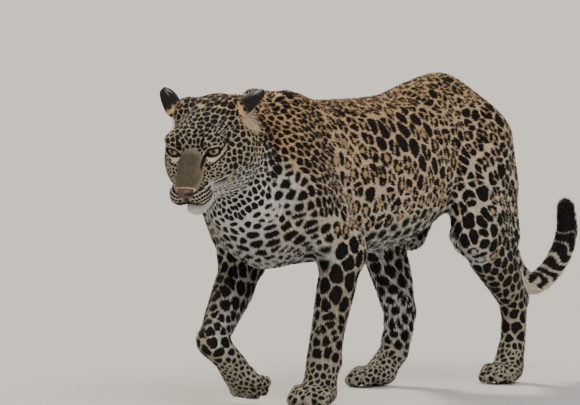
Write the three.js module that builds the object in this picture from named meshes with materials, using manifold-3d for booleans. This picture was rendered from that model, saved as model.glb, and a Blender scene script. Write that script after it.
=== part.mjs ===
// A life-size adult male leopard, walking with its head low, as a still museum model.
// Millimetres, +Z up. The animal faces -X, its left side is -Y, and its paws stand on z = 0.
// Its flesh is one field of named masses. Each named part is a region of that field's skin.
import * as THREE from 'three';
import { mergeVertices } from 'three/addons/utils/BufferGeometryUtils.js';
import Module from 'manifold-3d';

const wasm = await Module();
wasm.setup();

// Driving sizes
const GAP = 0.3; // clear space between neighbouring parts
const FAR = 900; // reach of a cutting block
const HEAD = { at: [-710, -4, 549], yaw: 9, pitch: 29, roll: 1, size: 1.07 };
const EYE = { at: [3, 39, 0], radius: 17, long: 29, high: 16, gaze: [0.96, 0.25, 0.06] };
const EAR = { at: [-93, 60, 44], width: 28, curl: 24, thick: 6, buried: 18 };
const SOLE = 24; // height of a paw's middle above the floor

// Vectors and frames
const radians = THREE.MathUtils.degToRad;
const vec = (p) => new THREE.Vector3(...p);
const clamp = THREE.MathUtils.clamp;
const mix = THREE.MathUtils.lerp;
const smooth = THREE.MathUtils.smoothstep;

// A frame has an origin, three unit axes (ahead, left, up) and a size.
function frameOf(at, ahead, up, size = 1) {
  const f = vec(ahead).normalize();
  const u = vec(up).addScaledVector(f, -vec(up).dot(f)).normalize();
  const l = new THREE.Vector3().crossVectors(u, f);
  const out = (a) => a.toArray();
  return { at, f: out(f), l: out(l), u: out(u), size };
}

function turnedFrame({ at, yaw, pitch, roll, size }) {
  const [y, p, r] = [radians(yaw), radians(pitch), radians(roll)];
  const ahead = [-Math.cos(p) * Math.cos(y), -Math.cos(p) * Math.sin(y), -Math.sin(p)];
  const level = vec([Math.sin(y), -Math.cos(y), 0]);
  const plumb = new THREE.Vector3().crossVectors(vec(ahead), level);
  const up = plumb.multiplyScalar(Math.cos(r)).addScaledVector(level, -Math.sin(r));
  return frameOf(at, ahead, up.toArray(), size);
}

function toWorld({ at, f, l, u, size }, [a, b, c]) {
  return at.map((v, i) => v + size * (a * f[i] + b * l[i] + c * u[i]));
}

// Fields: negative inside, near to true distances in millimetres

// A point's place in a frame, as three numbers in the frame's own size.
function toLocal({ at, f, l, u, size }, x, y, z) {
  const [dx, dy, dz] = [x - at[0], y - at[1], z - at[2]];
  return [
    (dx * f[0] + dy * f[1] + dz * f[2]) / size,
    (dx * l[0] + dy * l[1] + dz * l[2]) / size,
    (dx * u[0] + dy * u[1] + dz * u[2]) / size,
  ];
}

// An ellipsoid, leaned about the y axis by lean degrees so that its top goes back.
function mass(centre, radii, lean = 0) {
  const [c, s] = [Math.cos(radians(lean)), Math.sin(radians(lean))];
  return (x, y, z) => {
    const [dx, dy, dz] = [x - centre[0], y - centre[1], z - centre[2]];
    const p = [dx * c - dz * s, dy, dx * s + dz * c];
    const near = Math.hypot(p[0] / radii[0], p[1] / radii[1], p[2] / radii[2]);
    const steep = Math.hypot(p[0] / radii[0] ** 2, p[1] / radii[1] ** 2, p[2] / radii[2] ** 2);
    return steep < 1e-9 ? -Math.min(...radii) : (near * (near - 1)) / steep;
  };
}

// A limb along a path of [x, y, z, half width, half depth]. Width is across, near to the y axis.
function limb(points) {
  const links = points.slice(1).map((b, i) => {
    const a = points[i];
    const along = vec(b.slice(0, 3)).sub(vec(a.slice(0, 3)));
    const length = along.length();
    const t = along.clone().normalize();
    const side = vec([0, 1, 0]).addScaledVector(t, -t.y).normalize();
    const deep = new THREE.Vector3().crossVectors(t, side);
    return { a, b, length, t: t.toArray(), side: side.toArray(), deep: deep.toArray() };
  });
  return (x, y, z) => {
    let least = 1e9;
    for (const { a, b, length, t, side, deep } of links) {
      const [dx, dy, dz] = [x - a[0], y - a[1], z - a[2]];
      const far = dx * t[0] + dy * t[1] + dz * t[2];
      const s = clamp(far / length, 0, 1);
      const over = far - s * length;
      const w = dx * side[0] + dy * side[1] + dz * side[2];
      const d = dx * deep[0] + dy * deep[1] + dz * deep[2];
      const [rw, rd] = [mix(a[3], b[3], s), mix(a[4], b[4], s)];
      const away = Math.hypot(w, d, over);
      const q = Math.hypot(w / rw, d / rd, over / Math.min(rw, rd));
      least = Math.min(least, q < 1e-6 ? -Math.min(rw, rd) : away - away / q);
    }
    return least;
  };
}

// Smooth union: the two fields melt together where they are within k of each other.
function melt(a, b, k) {
  const h = Math.max(k - Math.abs(a - b), 0) / k;
  return Math.min(a, b) - (h * h * k) / 4;
}

// Runs a list of [form, blend] pairs together.
function meltAll(forms) {
  return (x, y, z) => forms.reduce((d, [form, k]) => melt(d, form(x, y, z), k), 1e3);
}

// Trunk

// Stations from breast to rump: x, top of the back, bottom of the belly, half width
const TRUNK = [
  [-505, 540, 380, 62],
  [-450, 602, 318, 96],
  [-390, 634, 297, 112],
  [-310, 640, 292, 122],
  [-210, 637, 295, 131],
  [-110, 637, 300, 136],
  [-10, 639, 304, 134],
  [80, 646, 314, 124],
  [160, 664, 336, 112],
  [240, 680, 366, 104],
  [310, 686, 402, 98],
  [375, 662, 440, 86],
  [436, 614, 480, 64],
];
const TRUNK_STEP = 10;
const BELLY_SAG = 0.1; // how much wider the trunk is low than high

// The stations smoothed by a Catmull-Rom curve, sampled at even steps of x.
const trunkLine = (() => {
  const curve = new THREE.CatmullRomCurve3(TRUNK.map(([x, top, low]) => vec([x, top, low])));
  const widths = new THREE.CatmullRomCurve3(TRUNK.map(([x, , , w]) => vec([x, w, 0])));
  const fine = 400;
  const rows = [];
  for (let i = 0; i <= fine; i++) {
    const [p, w] = [curve.getPoint(i / fine), widths.getPoint(i / fine)];
    rows.push([p.x, p.y, p.z, w.y]);
  }
  const even = [];
  for (let x = TRUNK[0][0], j = 0; x <= TRUNK.at(-1)[0]; x += TRUNK_STEP) {
    while (j < fine - 1 && rows[j + 1][0] < x) j++;
    const s = clamp((x - rows[j][0]) / (rows[j + 1][0] - rows[j][0]), 0, 1);
    even.push(rows[j].map((v, i) => mix(v, rows[j + 1][i], s)).slice(1));
  }
  return even;
})();

function trunk(x, y, z) {
  const last = trunkLine.length - 1;
  const place = (x - TRUNK[0][0]) / TRUNK_STEP;
  const t = clamp(place, 0, last);
  const over = (place - t) * TRUNK_STEP;
  const i = Math.min(Math.floor(t), last - 1);
  const [top, low, width] = trunkLine[i].map((v, j) => mix(v, trunkLine[i + 1][j], t - i));
  const half = (top - low) / 2;
  const dz = z - (top + low) / 2;
  const w = width * (1 - BELLY_SAG * clamp(dz / half, -1, 1));
  const away = Math.hypot(y, dz, over);
  const q = Math.hypot(y / w, dz / half, over / Math.min(w, half));
  return q < 1e-6 ? -Math.min(w, half) : away - away / q;
}

// Body masses; s is -1 on the left side and 1 on the right

const NECK = [
  [-370, 0, 520, 98, 128],
  [-480, 1, 533, 92, 122],
  [-560, 2, 554, 84, 102],
  [-604, 3, 566, 78, 84],
];

const bodyForms = [
  [trunk, 1],
  [limb(NECK), 60],
  [mass([-440, 0, 408], [92, 108, 112]), 50], // breast
  [mass([-505, 0, 430], [60, 78, 88], -20), 50], // front of the chest
  [mass([380, 0, 578], [76, 60, 66], 20), 40], // croup
];

const SHOULDERS = [
  {
    s: -1,
    blade: [[-418, -52, 636, 22, 50], [-440, -92, 545, 32, 66], [-455, -104, 462, 40, 62]],
    arm: [[-440, -104, 470, 40, 72], [-360, -108, 385, 40, 70], [-288, -106, 315, 37, 48]],
  },
  {
    s: 1,
    blade: [[-372, 52, 632, 22, 50], [-415, 92, 548, 32, 66], [-448, 104, 468, 40, 62]],
    arm: [[-440, 106, 470, 40, 72], [-385, 110, 380, 40, 68], [-330, 110, 300, 38, 48]],
  },
];

const HAUNCHES = [
  {
    s: -1,
    thigh: [[374, -66, 556, 58, 94], [340, -90, 470, 58, 108], [305, -100, 390, 50, 92],
      [275, -106, 335, 42, 56]],
    ham: [[418, -58, 535, 40, 54], [411, -82, 430, 46, 54], [428, -92, 330, 38, 44]],
  },
  {
    s: 1,
    thigh: [[375, 66, 555, 58, 96], [300, 88, 470, 58, 104], [240, 94, 395, 50, 84],
      [205, 94, 340, 42, 54]],
    ham: [[426, 56, 540, 40, 56], [380, 80, 430, 46, 56], [325, 86, 330, 38, 44]],
  },
];

for (const { blade, arm } of SHOULDERS) {
  bodyForms.push([limb(blade), 34], [limb(arm), 34]);
}
for (const { thigh, ham } of HAUNCHES) {
  bodyForms.push([limb(thigh), 45], [limb(ham), 40]);
}

// Legs

// Each path runs from the joint inside the body to the foot.
const LEGS = {
  foreleg_left: {
    path: [[-290, -104, 320, 38, 52], [-304, -97, 250, 40, 46], [-316, -84, 160, 34, 37],
      [-322, -77, 100, 35, 36], [-330, -73, 50, 36, 34]],
    bumps: [[[-258, -105, 318], [24, 20, 30]], [[-318, -78, 92], [22, 34, 22]]],
  },
  foreleg_right: {
    path: [[-330, 110, 308, 40, 54], [-385, 104, 245, 40, 48], [-455, 95, 180, 33, 38],
      [-503, 86, 140, 30, 34]],
    bumps: [[[-300, 110, 305], [26, 22, 30]]],
  },
  hindleg_left: {
    path: [[285, -108, 352, 44, 62], [350, -100, 300, 43, 66], [415, -96, 245, 37, 54],
      [470, -92, 190, 31, 38], [484, -90, 150, 29, 31], [480, -90, 95, 29, 27], [462, -90, 45, 34, 30]],
    bumps: [[[512, -91, 182], [22, 20, 26]], [[256, -108, 338], [30, 30, 36]]],
  },
  hindleg_right: {
    path: [[202, 94, 350, 44, 60], [226, 90, 290, 43, 60], [248, 82, 225, 39, 52],
      [261, 76, 170, 35, 43], [262, 76, 130, 33, 38], [248, 80, 74, 32, 32], [226, 94, 42, 34, 28]],
    bumps: [[[294, 74, 158], [20, 20, 24]], [[185, 94, 342], [28, 30, 34]]],
  },
};

// Paws: the frame stands under the ball of the foot, facing the toes.
const PAWS = {
  forepaw_left: frameOf([-340, -72, SOLE], [-1, -0.05, 0], [0, 0, 1], 1.06),
  forepaw_right: frameOf([-442, 56, 64], [0.6, -0.4, -0.7], [-0.75, 0, -0.4], 1.0),
  hindpaw_left: frameOf([442, -91, SOLE], [-1, -0.08, 0], [0, 0, 1], 1.0),
  hindpaw_right: frameOf([206, 102, SOLE], [-0.88, 0.48, 0], [0, 0, 1], 1.0),
};
const TOES = [[-30, 24], [-11, 38], [11, 38], [30, 24]]; // across, ahead
const WRIST_BEND = [[-503, 86, 140, 30, 34], [-462, 64, 92, 32, 26]]; // the lifted forefoot hangs from it

function pawField(frame) {
  const forms = [[mass([0, 0, 0], [44, 37, 26]), 1]];
  for (const [across, ahead] of TOES) {
    const toe = limb([
      [ahead * 0.2, across * 0.7, 2, 15, 16],
      [ahead, across, 5, 15, 16],
      [ahead + 20, across * 1.08, -10, 12.5, 14],
    ]);
    forms.push([toe, 7]);
  }
  const field = meltAll(forms);
  return (x, y, z) => frame.size * field(...toLocal(frame, x, y, z));
}

const legForms = Object.entries(LEGS).map(([name, { path, bumps }]) => {
  const paw = PAWS[name.replace('leg', 'paw')];
  return meltAll([
    [limb(path), 1],
    ...bumps.map(([centre, radii]) => [mass(centre, radii), 18]),
    ...(name === 'foreleg_right' ? [[limb(WRIST_BEND), 14]] : []),
    [pawField(paw), 16],
  ]);
});

// Legs melt widely into the body, and hardly into each other lower down.
const legBlend = (z) => mix(4, 48, smooth(z, 210, 330));

// Head, in its own frame: ahead, left, up from the middle between the eyes

const headFrame = turnedFrame(HEAD);
const headForms = [
  [mass([-72, 0, -8], [84, 64, 60]), 1], // cranium
  [mass([-26, 0, 12], [48, 48, 31]), 20], // forehead
  [limb([[-6, 0, 2, 24, 18], [46, 0, -14, 24, 18], [84, 0, -37, 19, 13]]), 14], // bridge
  [limb([[10, 0, -44, 44, 38], [68, 0, -58, 31, 24]]), 14], // muzzle
  [mass([-58, 0, -76], [74, 54, 46]), 20], // throat
  [limb([[-20, 0, -92, 38, 22], [56, 0, -101, 21, 14]]), 12], // jaw and chin
];
const headPairs = [
  [mass([0, 36, 20], [26, 24, 13]), 14], // brow
  [limb([[22, 40, -36, 20, 22], [-60, 60, -30, 28, 32]]), 20], // cheekbone
  [mass([-46, 48, -62], [60, 38, 46]), 24], // cheek
  [mass([-88, 46, 28], [36, 26, 27]), 16], // root of the ear
  [mass([64, 20, -62], [31, 23, 23]), 8], // whisker pad
  [mass([EYE.at[0] - 2, EYE.at[1], -1], [23, 24, 22]), 8], // round the eye
];

function headField(x, y, z) {
  const [f, l, u] = toLocal(headFrame, x, y, z);
  if (f < -230 || Math.hypot(f, l, u) > 330) return 1e3;
  const side = Math.abs(l);
  let d = headForms.reduce((had, [form, k]) => melt(had, form(f, l, u), k), 1e3);
  d = headPairs.reduce((had, [form, k]) => melt(had, form(f, side, u), k), d);
  return d * headFrame.size;
}

// The whole flesh

function flesh(x, y, z) {
  let d = bodyForms.reduce((had, [form, k]) => melt(had, form(x, y, z), k), 1e3);
  for (const leg of legForms) d = melt(d, leg(x, y, z), legBlend(z));
  return x < -480 ? melt(d, headField(x, y, z), 36) : d;
}

// Meshing

// A grid cell's corners, its edges as pairs of corners, and each face's corners in turn.
const CORNERS = [...Array(8).keys()].map((c) => [c & 1, (c >> 1) & 1, c >> 2]);
const EDGES = CORNERS.flatMap((c, a) => [1, 2, 4].filter((bit) => !(a & bit)).map((bit) => [a, a | bit]));
const FACES = [0, 1, 2].flatMap((axis) => [0, 1].map((side) =>
  EDGES.map((_, e) => e).filter((e) => EDGES[e].every((c) => CORNERS[c][axis] === side))));

// Groups a cell's cut edges into separate sheets of skin: edges that share a face are one sheet,
// and where four meet on a face, those round the same inside corner are.
function sheetsOf(v) {
  const inside = (e) => EDGES[e].find((c) => v[c] < 0);
  const cut = EDGES.map((_, e) => e).filter((e) => v[EDGES[e][0]] < 0 !== v[EDGES[e][1]] < 0);
  const sheet = new Map(cut.map((e) => [e, e]));
  const join = (a, b) => {
    const [from, to] = [sheet.get(a), sheet.get(b)];
    sheet.forEach((s, e) => s === from && sheet.set(e, to));
  };
  for (const face of FACES) {
    const on = face.filter((e) => sheet.has(e));
    on.forEach((a, i) => on.slice(i + 1).forEach((b) => {
      if (on.length === 2 || inside(a) === inside(b)) join(a, b);
    }));
  }
  return sheet;
}

// The skin of a field from corner low to corner high, as a closed mesh: a vertex for each sheet in each cell,
// pulled onto the field, and a face across each grid edge that the skin cuts.
function skinOf(field, low, high, cell) {
  const n = low.map((v, i) => Math.ceil((high[i] - v) / cell[i]) + 1);
  const at = (i, j, k) => (k * n[1] + j) * n[0] + i;
  const value = new Float64Array(n[0] * n[1] * n[2]);
  const everyPoint = (size, visit) => {
    for (let k = 0; k < size[2]; k++)
      for (let j = 0; j < size[1]; j++) for (let i = 0; i < size[0]; i++) visit([i, j, k]);
  };
  everyPoint(n, (p) => {
    const rim = p.some((v, a) => v === 0 || v === n[a] - 1);
    const d = field(...p.map((v, a) => low[a] + v * cell[a]));
    value[at(...p)] = rim ? Math.max(d, 1) : d;
  });
  const vertexOf = new Map();
  const points = [];
  everyPoint(n.map((m) => m - 1), (p) => {
    const v = CORNERS.map((c) => value[at(...p.map((m, a) => m + c[a]))]);
    if (v.every((d) => d < 0) || v.every((d) => d >= 0)) return;
    const sheets = sheetsOf(v);
    for (const name of new Set(sheets.values())) {
      const own = [...sheets.keys()].filter((e) => sheets.get(e) === name);
      const middle = [0, 0, 0];
      for (const e of own) {
        const [a, b] = EDGES[e];
        const s = v[a] / (v[a] - v[b]);
        middle.forEach((_, q) => {
          middle[q] += mix(CORNERS[a][q], CORNERS[b][q], s) / own.length;
        });
        vertexOf.set(at(...p) * 12 + e, points.length);
      }
      const inner = p.every((m, a) => m > 1 && m < n[a] - 3);
      const start = middle.map((m, a) => low[a] + (p[a] + m) * cell[a]);
      points.push(inner ? pulled(field, start, Math.min(...cell) * 0.45) : start);
    }
  });
  const faces = [];
  everyPoint(n.map((m) => m - 1), (p) => {
    const here = value[at(...p)] < 0;
    for (const axis of [0, 1, 2]) {
      const next = p.map((m, a) => m + (a === axis ? 1 : 0));
      if (here === value[at(...next)] < 0) continue;
      const [b, c] = [(axis + 1) % 3, (axis + 2) % 3];
      const [p0, p1, p2, p3] = [[0, 0], [1, 0], [1, 1], [0, 1]].map(([db, dc]) => {
        const home = p.map((m, a) => m - (a === b ? db : 0) - (a === c ? dc : 0));
        const corner = (db << b) | (dc << c);
        const e = EDGES.findIndex(([f, g]) => f === corner && g === (corner | (1 << axis)));
        return vertexOf.get(at(...home) * 12 + e);
      });
      faces.push(...(here ? [p0, p1, p2, p0, p2, p3] : [p0, p3, p2, p0, p2, p1]));
    }
  });
  const even = relaxed(field, points, faces, Math.min(...cell) * 0.6);
  const geometry = new THREE.BufferGeometry();
  geometry.setAttribute('position', new THREE.Float32BufferAttribute(even.flat(), 3));
  geometry.setIndex(faces);
  return geometry;
}

// Vertices evened out: each goes part of the way to its neighbours' middle and back to the field.
function relaxed(field, points, faces, reach) {
  let now = points;
  for (let pass = 0; pass < 2; pass++) {
    const sums = points.map(() => [0, 0, 0, 0]);
    for (let i = 0; i < faces.length; i += 3)
      for (const [a, b] of [[0, 1], [1, 2], [2, 0]]) {
        const to = now[faces[i + b]];
        const sum = sums[faces[i + a]];
        to.forEach((v, q) => {
          sum[q] += v;
        });
        sum[3] += 1;
      }
    now = now.map((p, i) => {
      const goal = p.map((v, q) => mix(v, sums[i][q] / sums[i][3], 0.6));
      const held = goal.map((v, q) => clamp(v, points[i][q] - reach, points[i][q] + reach));
      return Math.abs(field(...p)) < 3 ? pulled(field, held, reach) : p;
    });
  }
  return now;
}

// A point moved onto the field's zero by Newton steps, by no more than a given reach.
function pulled(field, start, reach) {
  const p = [...start];
  const e = 0.5;
  for (let step = 0; step < 3; step++) {
    const d = field(...p);
    const slope = [0, 1, 2].map((i) => {
      const [a, b] = [[...p], [...p]];
      a[i] += e;
      b[i] -= e;
      return (field(...a) - field(...b)) / (2 * e);
    });
    const steep = slope.reduce((sum, s) => sum + s * s, 1e-6);
    slope.forEach((s, i) => {
      p[i] = clamp(p[i] - (d * s) / steep, start[i] - reach, start[i] + reach);
    });
  }
  return p;
}

// Solids

const ROUND = [16, 11]; // how many sides a ball has, round and up

function solidOf(geometry) {
  const bare = geometry.index ? geometry.toNonIndexed() : geometry.clone();
  bare.deleteAttribute('normal');
  bare.deleteAttribute('uv');
  const merged = mergeVertices(bare, 1e-3);
  return new wasm.Manifold(new wasm.Mesh({
    numProp: 3,
    vertProperties: merged.getAttribute('position').array,
    triVerts: new Uint32Array(merged.index.array),
  }));
}

// A mesh given in the head's frame, as a solid in its place.
function inHead(geometry) {
  const placed = geometry.clone();
  const p = placed.getAttribute('position');
  for (let i = 0; i < p.count; i++) {
    p.setXYZ(i, ...toWorld(headFrame, [p.getX(i), p.getY(i), p.getZ(i)]));
  }
  const solid = solidOf(placed);
  return solid.volume() > 0 ? solid : solidOf(turnedOut(placed));
}

// A solid with clear space left round another one.
function clearOf(solid, other) {
  const ways = [[1, 0, 0], [-1, 0, 0], [0, 1, 0], [0, -1, 0], [0, 0, 1], [0, 0, -1]];
  return ways.reduce((left, way) => left.subtract(other.translate(way.map((v) => v * GAP * 1.3))), solid);
}

function geometryOf(solid) {
  const bodies = solid.decompose().sort((a, b) => b.volume() - a.volume());
  const { numProp, vertProperties, triVerts } = bodies[0].getMesh();
  if (numProp !== 3) throw new Error('a solid carries more than positions');
  const geometry = new THREE.BufferGeometry();
  geometry.setAttribute('position', new THREE.BufferAttribute(Float32Array.from(vertProperties), 3));
  geometry.setIndex(new THREE.BufferAttribute(Uint32Array.from(triVerts), 1));
  geometry.computeVertexNormals();
  return geometry;
}

// A large block that fills the side of a plane that its normal points to.
function blockBeyond(point, normal) {
  const block = new THREE.BoxGeometry(2 * FAR, 2 * FAR, 2 * FAR).translate(0, 0, FAR);
  const turn = new THREE.Quaternion().setFromUnitVectors(vec([0, 0, 1]), vec(normal).normalize());
  return solidOf(block.applyQuaternion(turn).translate(...point));
}

// What is left of a solid on the near side of each [point, normal] plane, less half the gap.
function trimmed(solid, planes) {
  return planes.reduce((left, [point, normal]) => {
    const n = vec(normal).normalize();
    const inset = vec(point).addScaledVector(n, -GAP / 2).toArray();
    return left.subtract(blockBeyond(inset, normal));
  }, solid);
}

const flip = ([point, normal]) => [point, normal.map((v) => -v)];
const FLOOR = [[0, 0, -GAP / 2], [0, 0, -1]];

// Where the parts meet

const CUTS = {
  headNeck: [toWorld(headFrame, [-118, 0, 0]), headFrame.f.map((v, i) => v + 0.45 * headFrame.u[i])],
  neckTorso: [[-505, 0, 560], [-1, 0, 0.35]],
  forelegs: [[-340, 0, 288], [0, 0, -1]],
  wrist_left: [[-338, -76, 70], [-0.12, 0, -1]],
  wrist_right: [[-505, 86, 136], [0.35, -0.25, -0.9]],
  thigh_left: [[190, 0, 300], [250, 0, -330]],
  thigh_right: [[118, 0, 300], [250, 0, -390]],
  middle: [[0, 0, 0], [0, 1, 0]],
  hock_left: [[480, -90, 118], [0.1, 0, -1]],
  hock_right: [[275, 80, 118], [-0.2, 0, -1]],
  tail_root: [[578, 0, 400], [0.28, 0, -1]],
  tail_end: [[650, -22, 216], [1, -0.3, -0.4]],
};

// Tail, and what is cut into the face

// Along the tail: x, y, z, half width, half depth
const TAIL = [
  [430, 0, 612, 34, 34], [494, 0, 556, 32, 32], [548, 0, 478, 29, 29], [582, 0, 390, 27, 27],
  [602, -4, 300, 27, 27], [628, -14, 236, 27, 27], [673, -30, 206, 27, 27], [718, -50, 228, 27, 27],
  [748, -66, 272, 27, 27], [762, -74, 320, 26, 26], [761, -72, 372, 22, 22],
];

// In the head's frame: the slit of the mouth from corner to corner
const MOUTH = (() => {
  const half = [[90, 0, -81, 2.4, 12], [84, 12, -86, 2.4, 12], [70, 26, -87, 2.2, 11],
    [55, 36, -81, 2, 9], [44, 42, -73, 1.8, 7], [34, 46, -67, 1.4, 4]];
  return [...half.slice(1).reverse().map(([f, l, ...rest]) => [f, -l, ...rest]), ...half];
})();
const NOSTRIL = [[106, 7, -44, 3.4, 3.4], [98, 9.5, -45, 3.2, 3.2], [88, 12, -46, 2.2, 2.2]];
const LEATHER = {
  at: [89, 0, -44],
  radii: [17, 17.5, 11],
  below: [89, 0, -56],
  foot: [13, 5.5, 12],
  box: [[64, -27, -76], [114, 27, -22], [6, 5.4, 5.4]],
};

// A closed round tube along points of [x, y, z, half width, half depth], with domed ends.
function tubeAlong(points, rings, sides) {
  const curve = new THREE.CatmullRomCurve3(points.map((p) => vec(p.slice(0, 3))));
  const girth = new THREE.CatmullRomCurve3(points.map(([, , , w, d]) => vec([w, d, 0])));
  const rows = [];
  for (let i = 0; i <= rings; i++) {
    const t = i / rings;
    const along = curve.getTangent(t);
    const flat = Math.abs(along.y) > 0.9 ? vec([1, 0, 0]) : vec([0, 1, 0]);
    const side = flat.addScaledVector(along, -along.dot(flat)).normalize();
    const deep = new THREE.Vector3().crossVectors(along, side);
    const size = girth.getPoint(t);
    rows.push({ at: curve.getPoint(t), along, side, deep, w: size.x, d: size.y });
  }
  const dome = (row, way) => [0.55, 0.9].map((q) => ({
    ...row,
    at: row.at.clone().addScaledVector(row.along, way * q * row.w),
    w: row.w * Math.sqrt(1 - q * q),
    d: row.d * Math.sqrt(1 - q * q),
  }));
  const all = [...dome(rows[0], -1).reverse(), ...rows, ...dome(rows.at(-1), 1)];
  const loops = all.map(({ at, side, deep, w, d }) => [...Array(sides).keys()].map((i) => {
    const turn = (i / sides) * 2 * Math.PI;
    return at.clone().addScaledVector(side, w * Math.cos(turn)).addScaledVector(deep, d * Math.sin(turn));
  }));
  return closedLoops(loops);
}

// A closed mesh through loops of points of one length, capped at both ends.
function closedLoops(loops) {
  const count = loops[0].length;
  const points = loops.flat().flatMap((p) => p.toArray());
  const faces = [];
  for (let i = 0; i + 1 < loops.length; i++)
    for (let j = 0; j < count; j++) {
      const [a, b] = [i * count + j, i * count + ((j + 1) % count)];
      faces.push(a, b, b + count, a, b + count, a + count);
    }
  const ends = [[loops[0], 0, true], [loops.at(-1), (loops.length - 1) * count, false]];
  for (const [loop, start, flipped] of ends) {
    const middle = loop.reduce((sum, p) => sum.add(p), new THREE.Vector3()).divideScalar(count);
    points.push(...middle.toArray());
    const hub = points.length / 3 - 1;
    for (let j = 0; j < count; j++) {
      const [a, b] = [start + j, start + ((j + 1) % count)];
      faces.push(...(flipped ? [hub, b, a] : [hub, a, b]));
    }
  }
  const geometry = new THREE.BufferGeometry();
  geometry.setAttribute('position', new THREE.Float32BufferAttribute(points, 3));
  geometry.setIndex(faces);
  return geometry;
}

// The pad of the nose, in the head's frame.
function leather() {
  const pad = mass(LEATHER.at, LEATHER.radii);
  const foot = mass(LEATHER.below, LEATHER.foot);
  return skinOf((f, l, u) => melt(pad(f, l, u), foot(f, l, u), 6), ...LEATHER.box);
}

// A block with an almond outline, running out of the eye along its gaze.
function fissure(side) {
  const almond = new THREE.Shape();
  const [a, b] = [EYE.long / 2, EYE.high / 2];
  almond.moveTo(-a, -b * 0.5);
  almond.bezierCurveTo(-a * 0.6, b * 0.9, a * 0.3, b * 1.25, a, b * 0.25);
  almond.bezierCurveTo(a * 0.5, -b * 1.1, -a * 0.4, -b * 1.2, -a, -b * 0.5);
  const block = new THREE.ExtrudeGeometry(almond, { depth: 40, bevelEnabled: false, curveSegments: 7 });
  const gaze = vec([EYE.gaze[0], EYE.gaze[1] * side, EYE.gaze[2]]).normalize();
  const outward = vec([0, side, 0]).addScaledVector(gaze, -gaze.y * side).normalize();
  const up = new THREE.Vector3().crossVectors(gaze, outward);
  if (side < 0) up.negate();
  const turn = new THREE.Matrix4().makeBasis(outward, up, gaze);
  block.applyMatrix4(turn);
  block.translate(EYE.at[0], EYE.at[1] * side, EYE.at[2]);
  return side < 0 ? turnedOut(block) : block;
}

// The same mesh with its faces the other way round.
function turnedOut(geometry) {
  const flat = geometry.index ? geometry.toNonIndexed() : geometry.clone();
  const p = flat.getAttribute('position');
  for (let i = 0; i < p.count; i += 3) {
    const [b, c] = [i + 1, i + 2].map((j) => [p.getX(j), p.getY(j), p.getZ(j)]);
    p.setXYZ(i + 1, ...c);
    p.setXYZ(i + 2, ...b);
  }
  return flat;
}

// Ears

// For each ear: the way its tip points, the way its back faces, and its length
const EARS = {
  left: { tip: [0.7, -0.6, 0.42], back: [-0.61, 0.05, 0.79], length: 62 },
  right: { tip: [0.02, 0.72, 0.62], back: [-0.2, -0.85, 0.45], length: 48 },
};

// A cupped ear: an arch across at each height, closing to a round tip, as a shell.
function earCup({ tip, back, length }, side) {
  const axis = vec(tip).normalize();
  const face = vec(back).addScaledVector(axis, -axis.dot(vec(back))).normalize();
  const across = new THREE.Vector3().crossVectors(axis, face);
  const root = vec(toWorld(headFrame, [EAR.at[0], EAR.at[1] * side, EAR.at[2]]));
  const skin = (a, b, thick) => {
    const rise = -EAR.buried + a * (length + EAR.buried);
    const w = EAR.width * Math.sqrt(Math.max(0.012, 1 - Math.pow(Math.abs(a - 0.42) / 0.585, 2.6)));
    const depth = mix(EAR.curl, 4, smooth(a, 0.1, 1)) * b * b;
    return root.clone().addScaledVector(axis, rise).addScaledVector(across, w * b)
      .addScaledVector(face, -depth + thick);
  };
  const loops = [];
  const [tall, wide] = [9, 8];
  for (let i = 0; i <= tall; i++) {
    const a = i / tall;
    const half = mix(EAR.thick, EAR.thick * 0.5, a) / 2;
    const outer = [...Array(wide + 1).keys()].map((j) => skin(a, (2 * j) / wide - 1, half));
    const inner = [...Array(wide + 1).keys()].map((j) => skin(a, 1 - (2 * j) / wide, -half));
    loops.push([...outer, ...inner]);
  }
  return closedLoops(loops);
}

// Materials

const coat = (color) => new THREE.MeshStandardMaterial({ color, roughness: 0.85, metalness: 0 });
const MATERIALS = {
  gold: coat(0xc79a5b),
  pale: coat(0xd9c9ab),
  tail: coat(0xb5925f),
  ear: coat(0x3a2f28),
  eye: new THREE.MeshStandardMaterial({ color: 0xc9b36a, roughness: 0.08, metalness: 0 }),
  nose: new THREE.MeshStandardMaterial({ color: 0x8a5a4a, roughness: 0.45, metalness: 0 }),
};

const leopard = new THREE.Group();
leopard.name = 'leopard';

function add(name, solid, material) {
  const mesh = new THREE.Mesh(geometryOf(solid), material);
  mesh.name = name;
  leopard.add(mesh);
}

// Torso and neck

// Where the skin of each part is worked out: the low and high corners, and the size of a cell
const TORSO_BOX = [[-560, -230, 225], [560, 230, 740], [34, 26, 26]];
const NECK_BOX = [[-760, -190, 330], [-420, 190, 720], [22, 21, 21]];
const HEAD_BOX = [[-880, -150, 400], [-540, 150, 720], [12.5, 12.5, 12.5]];

const torsoSkin = solidOf(skinOf(flesh, ...TORSO_BOX));
const halfSpace = (side) =>
  solidOf(new THREE.BoxGeometry(2 * FAR, FAR, 2 * FAR).translate(0, (side * FAR) / 2, 0));
const apart = (solid, cut) => solid.translate(vec(cut[1]).setLength(-GAP).toArray());
const leftThigh = trimmed(halfSpace(-1), [flip(CUTS.thigh_left)]);
const rightThigh = trimmed(halfSpace(1), [flip(CUTS.thigh_right)]);
const torso = trimmed(torsoSkin, [CUTS.neckTorso, CUTS.forelegs])
  .subtract(apart(leftThigh, CUTS.thigh_left))
  .subtract(apart(rightThigh, CUTS.thigh_right));
add('torso', torso, MATERIALS.gold);

const neckSkin = solidOf(skinOf(flesh, ...NECK_BOX));
const neck = trimmed(neckSkin, [flip(CUTS.neckTorso), CUTS.headNeck]);
add('neck', neck, MATERIALS.gold);

// Legs

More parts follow.
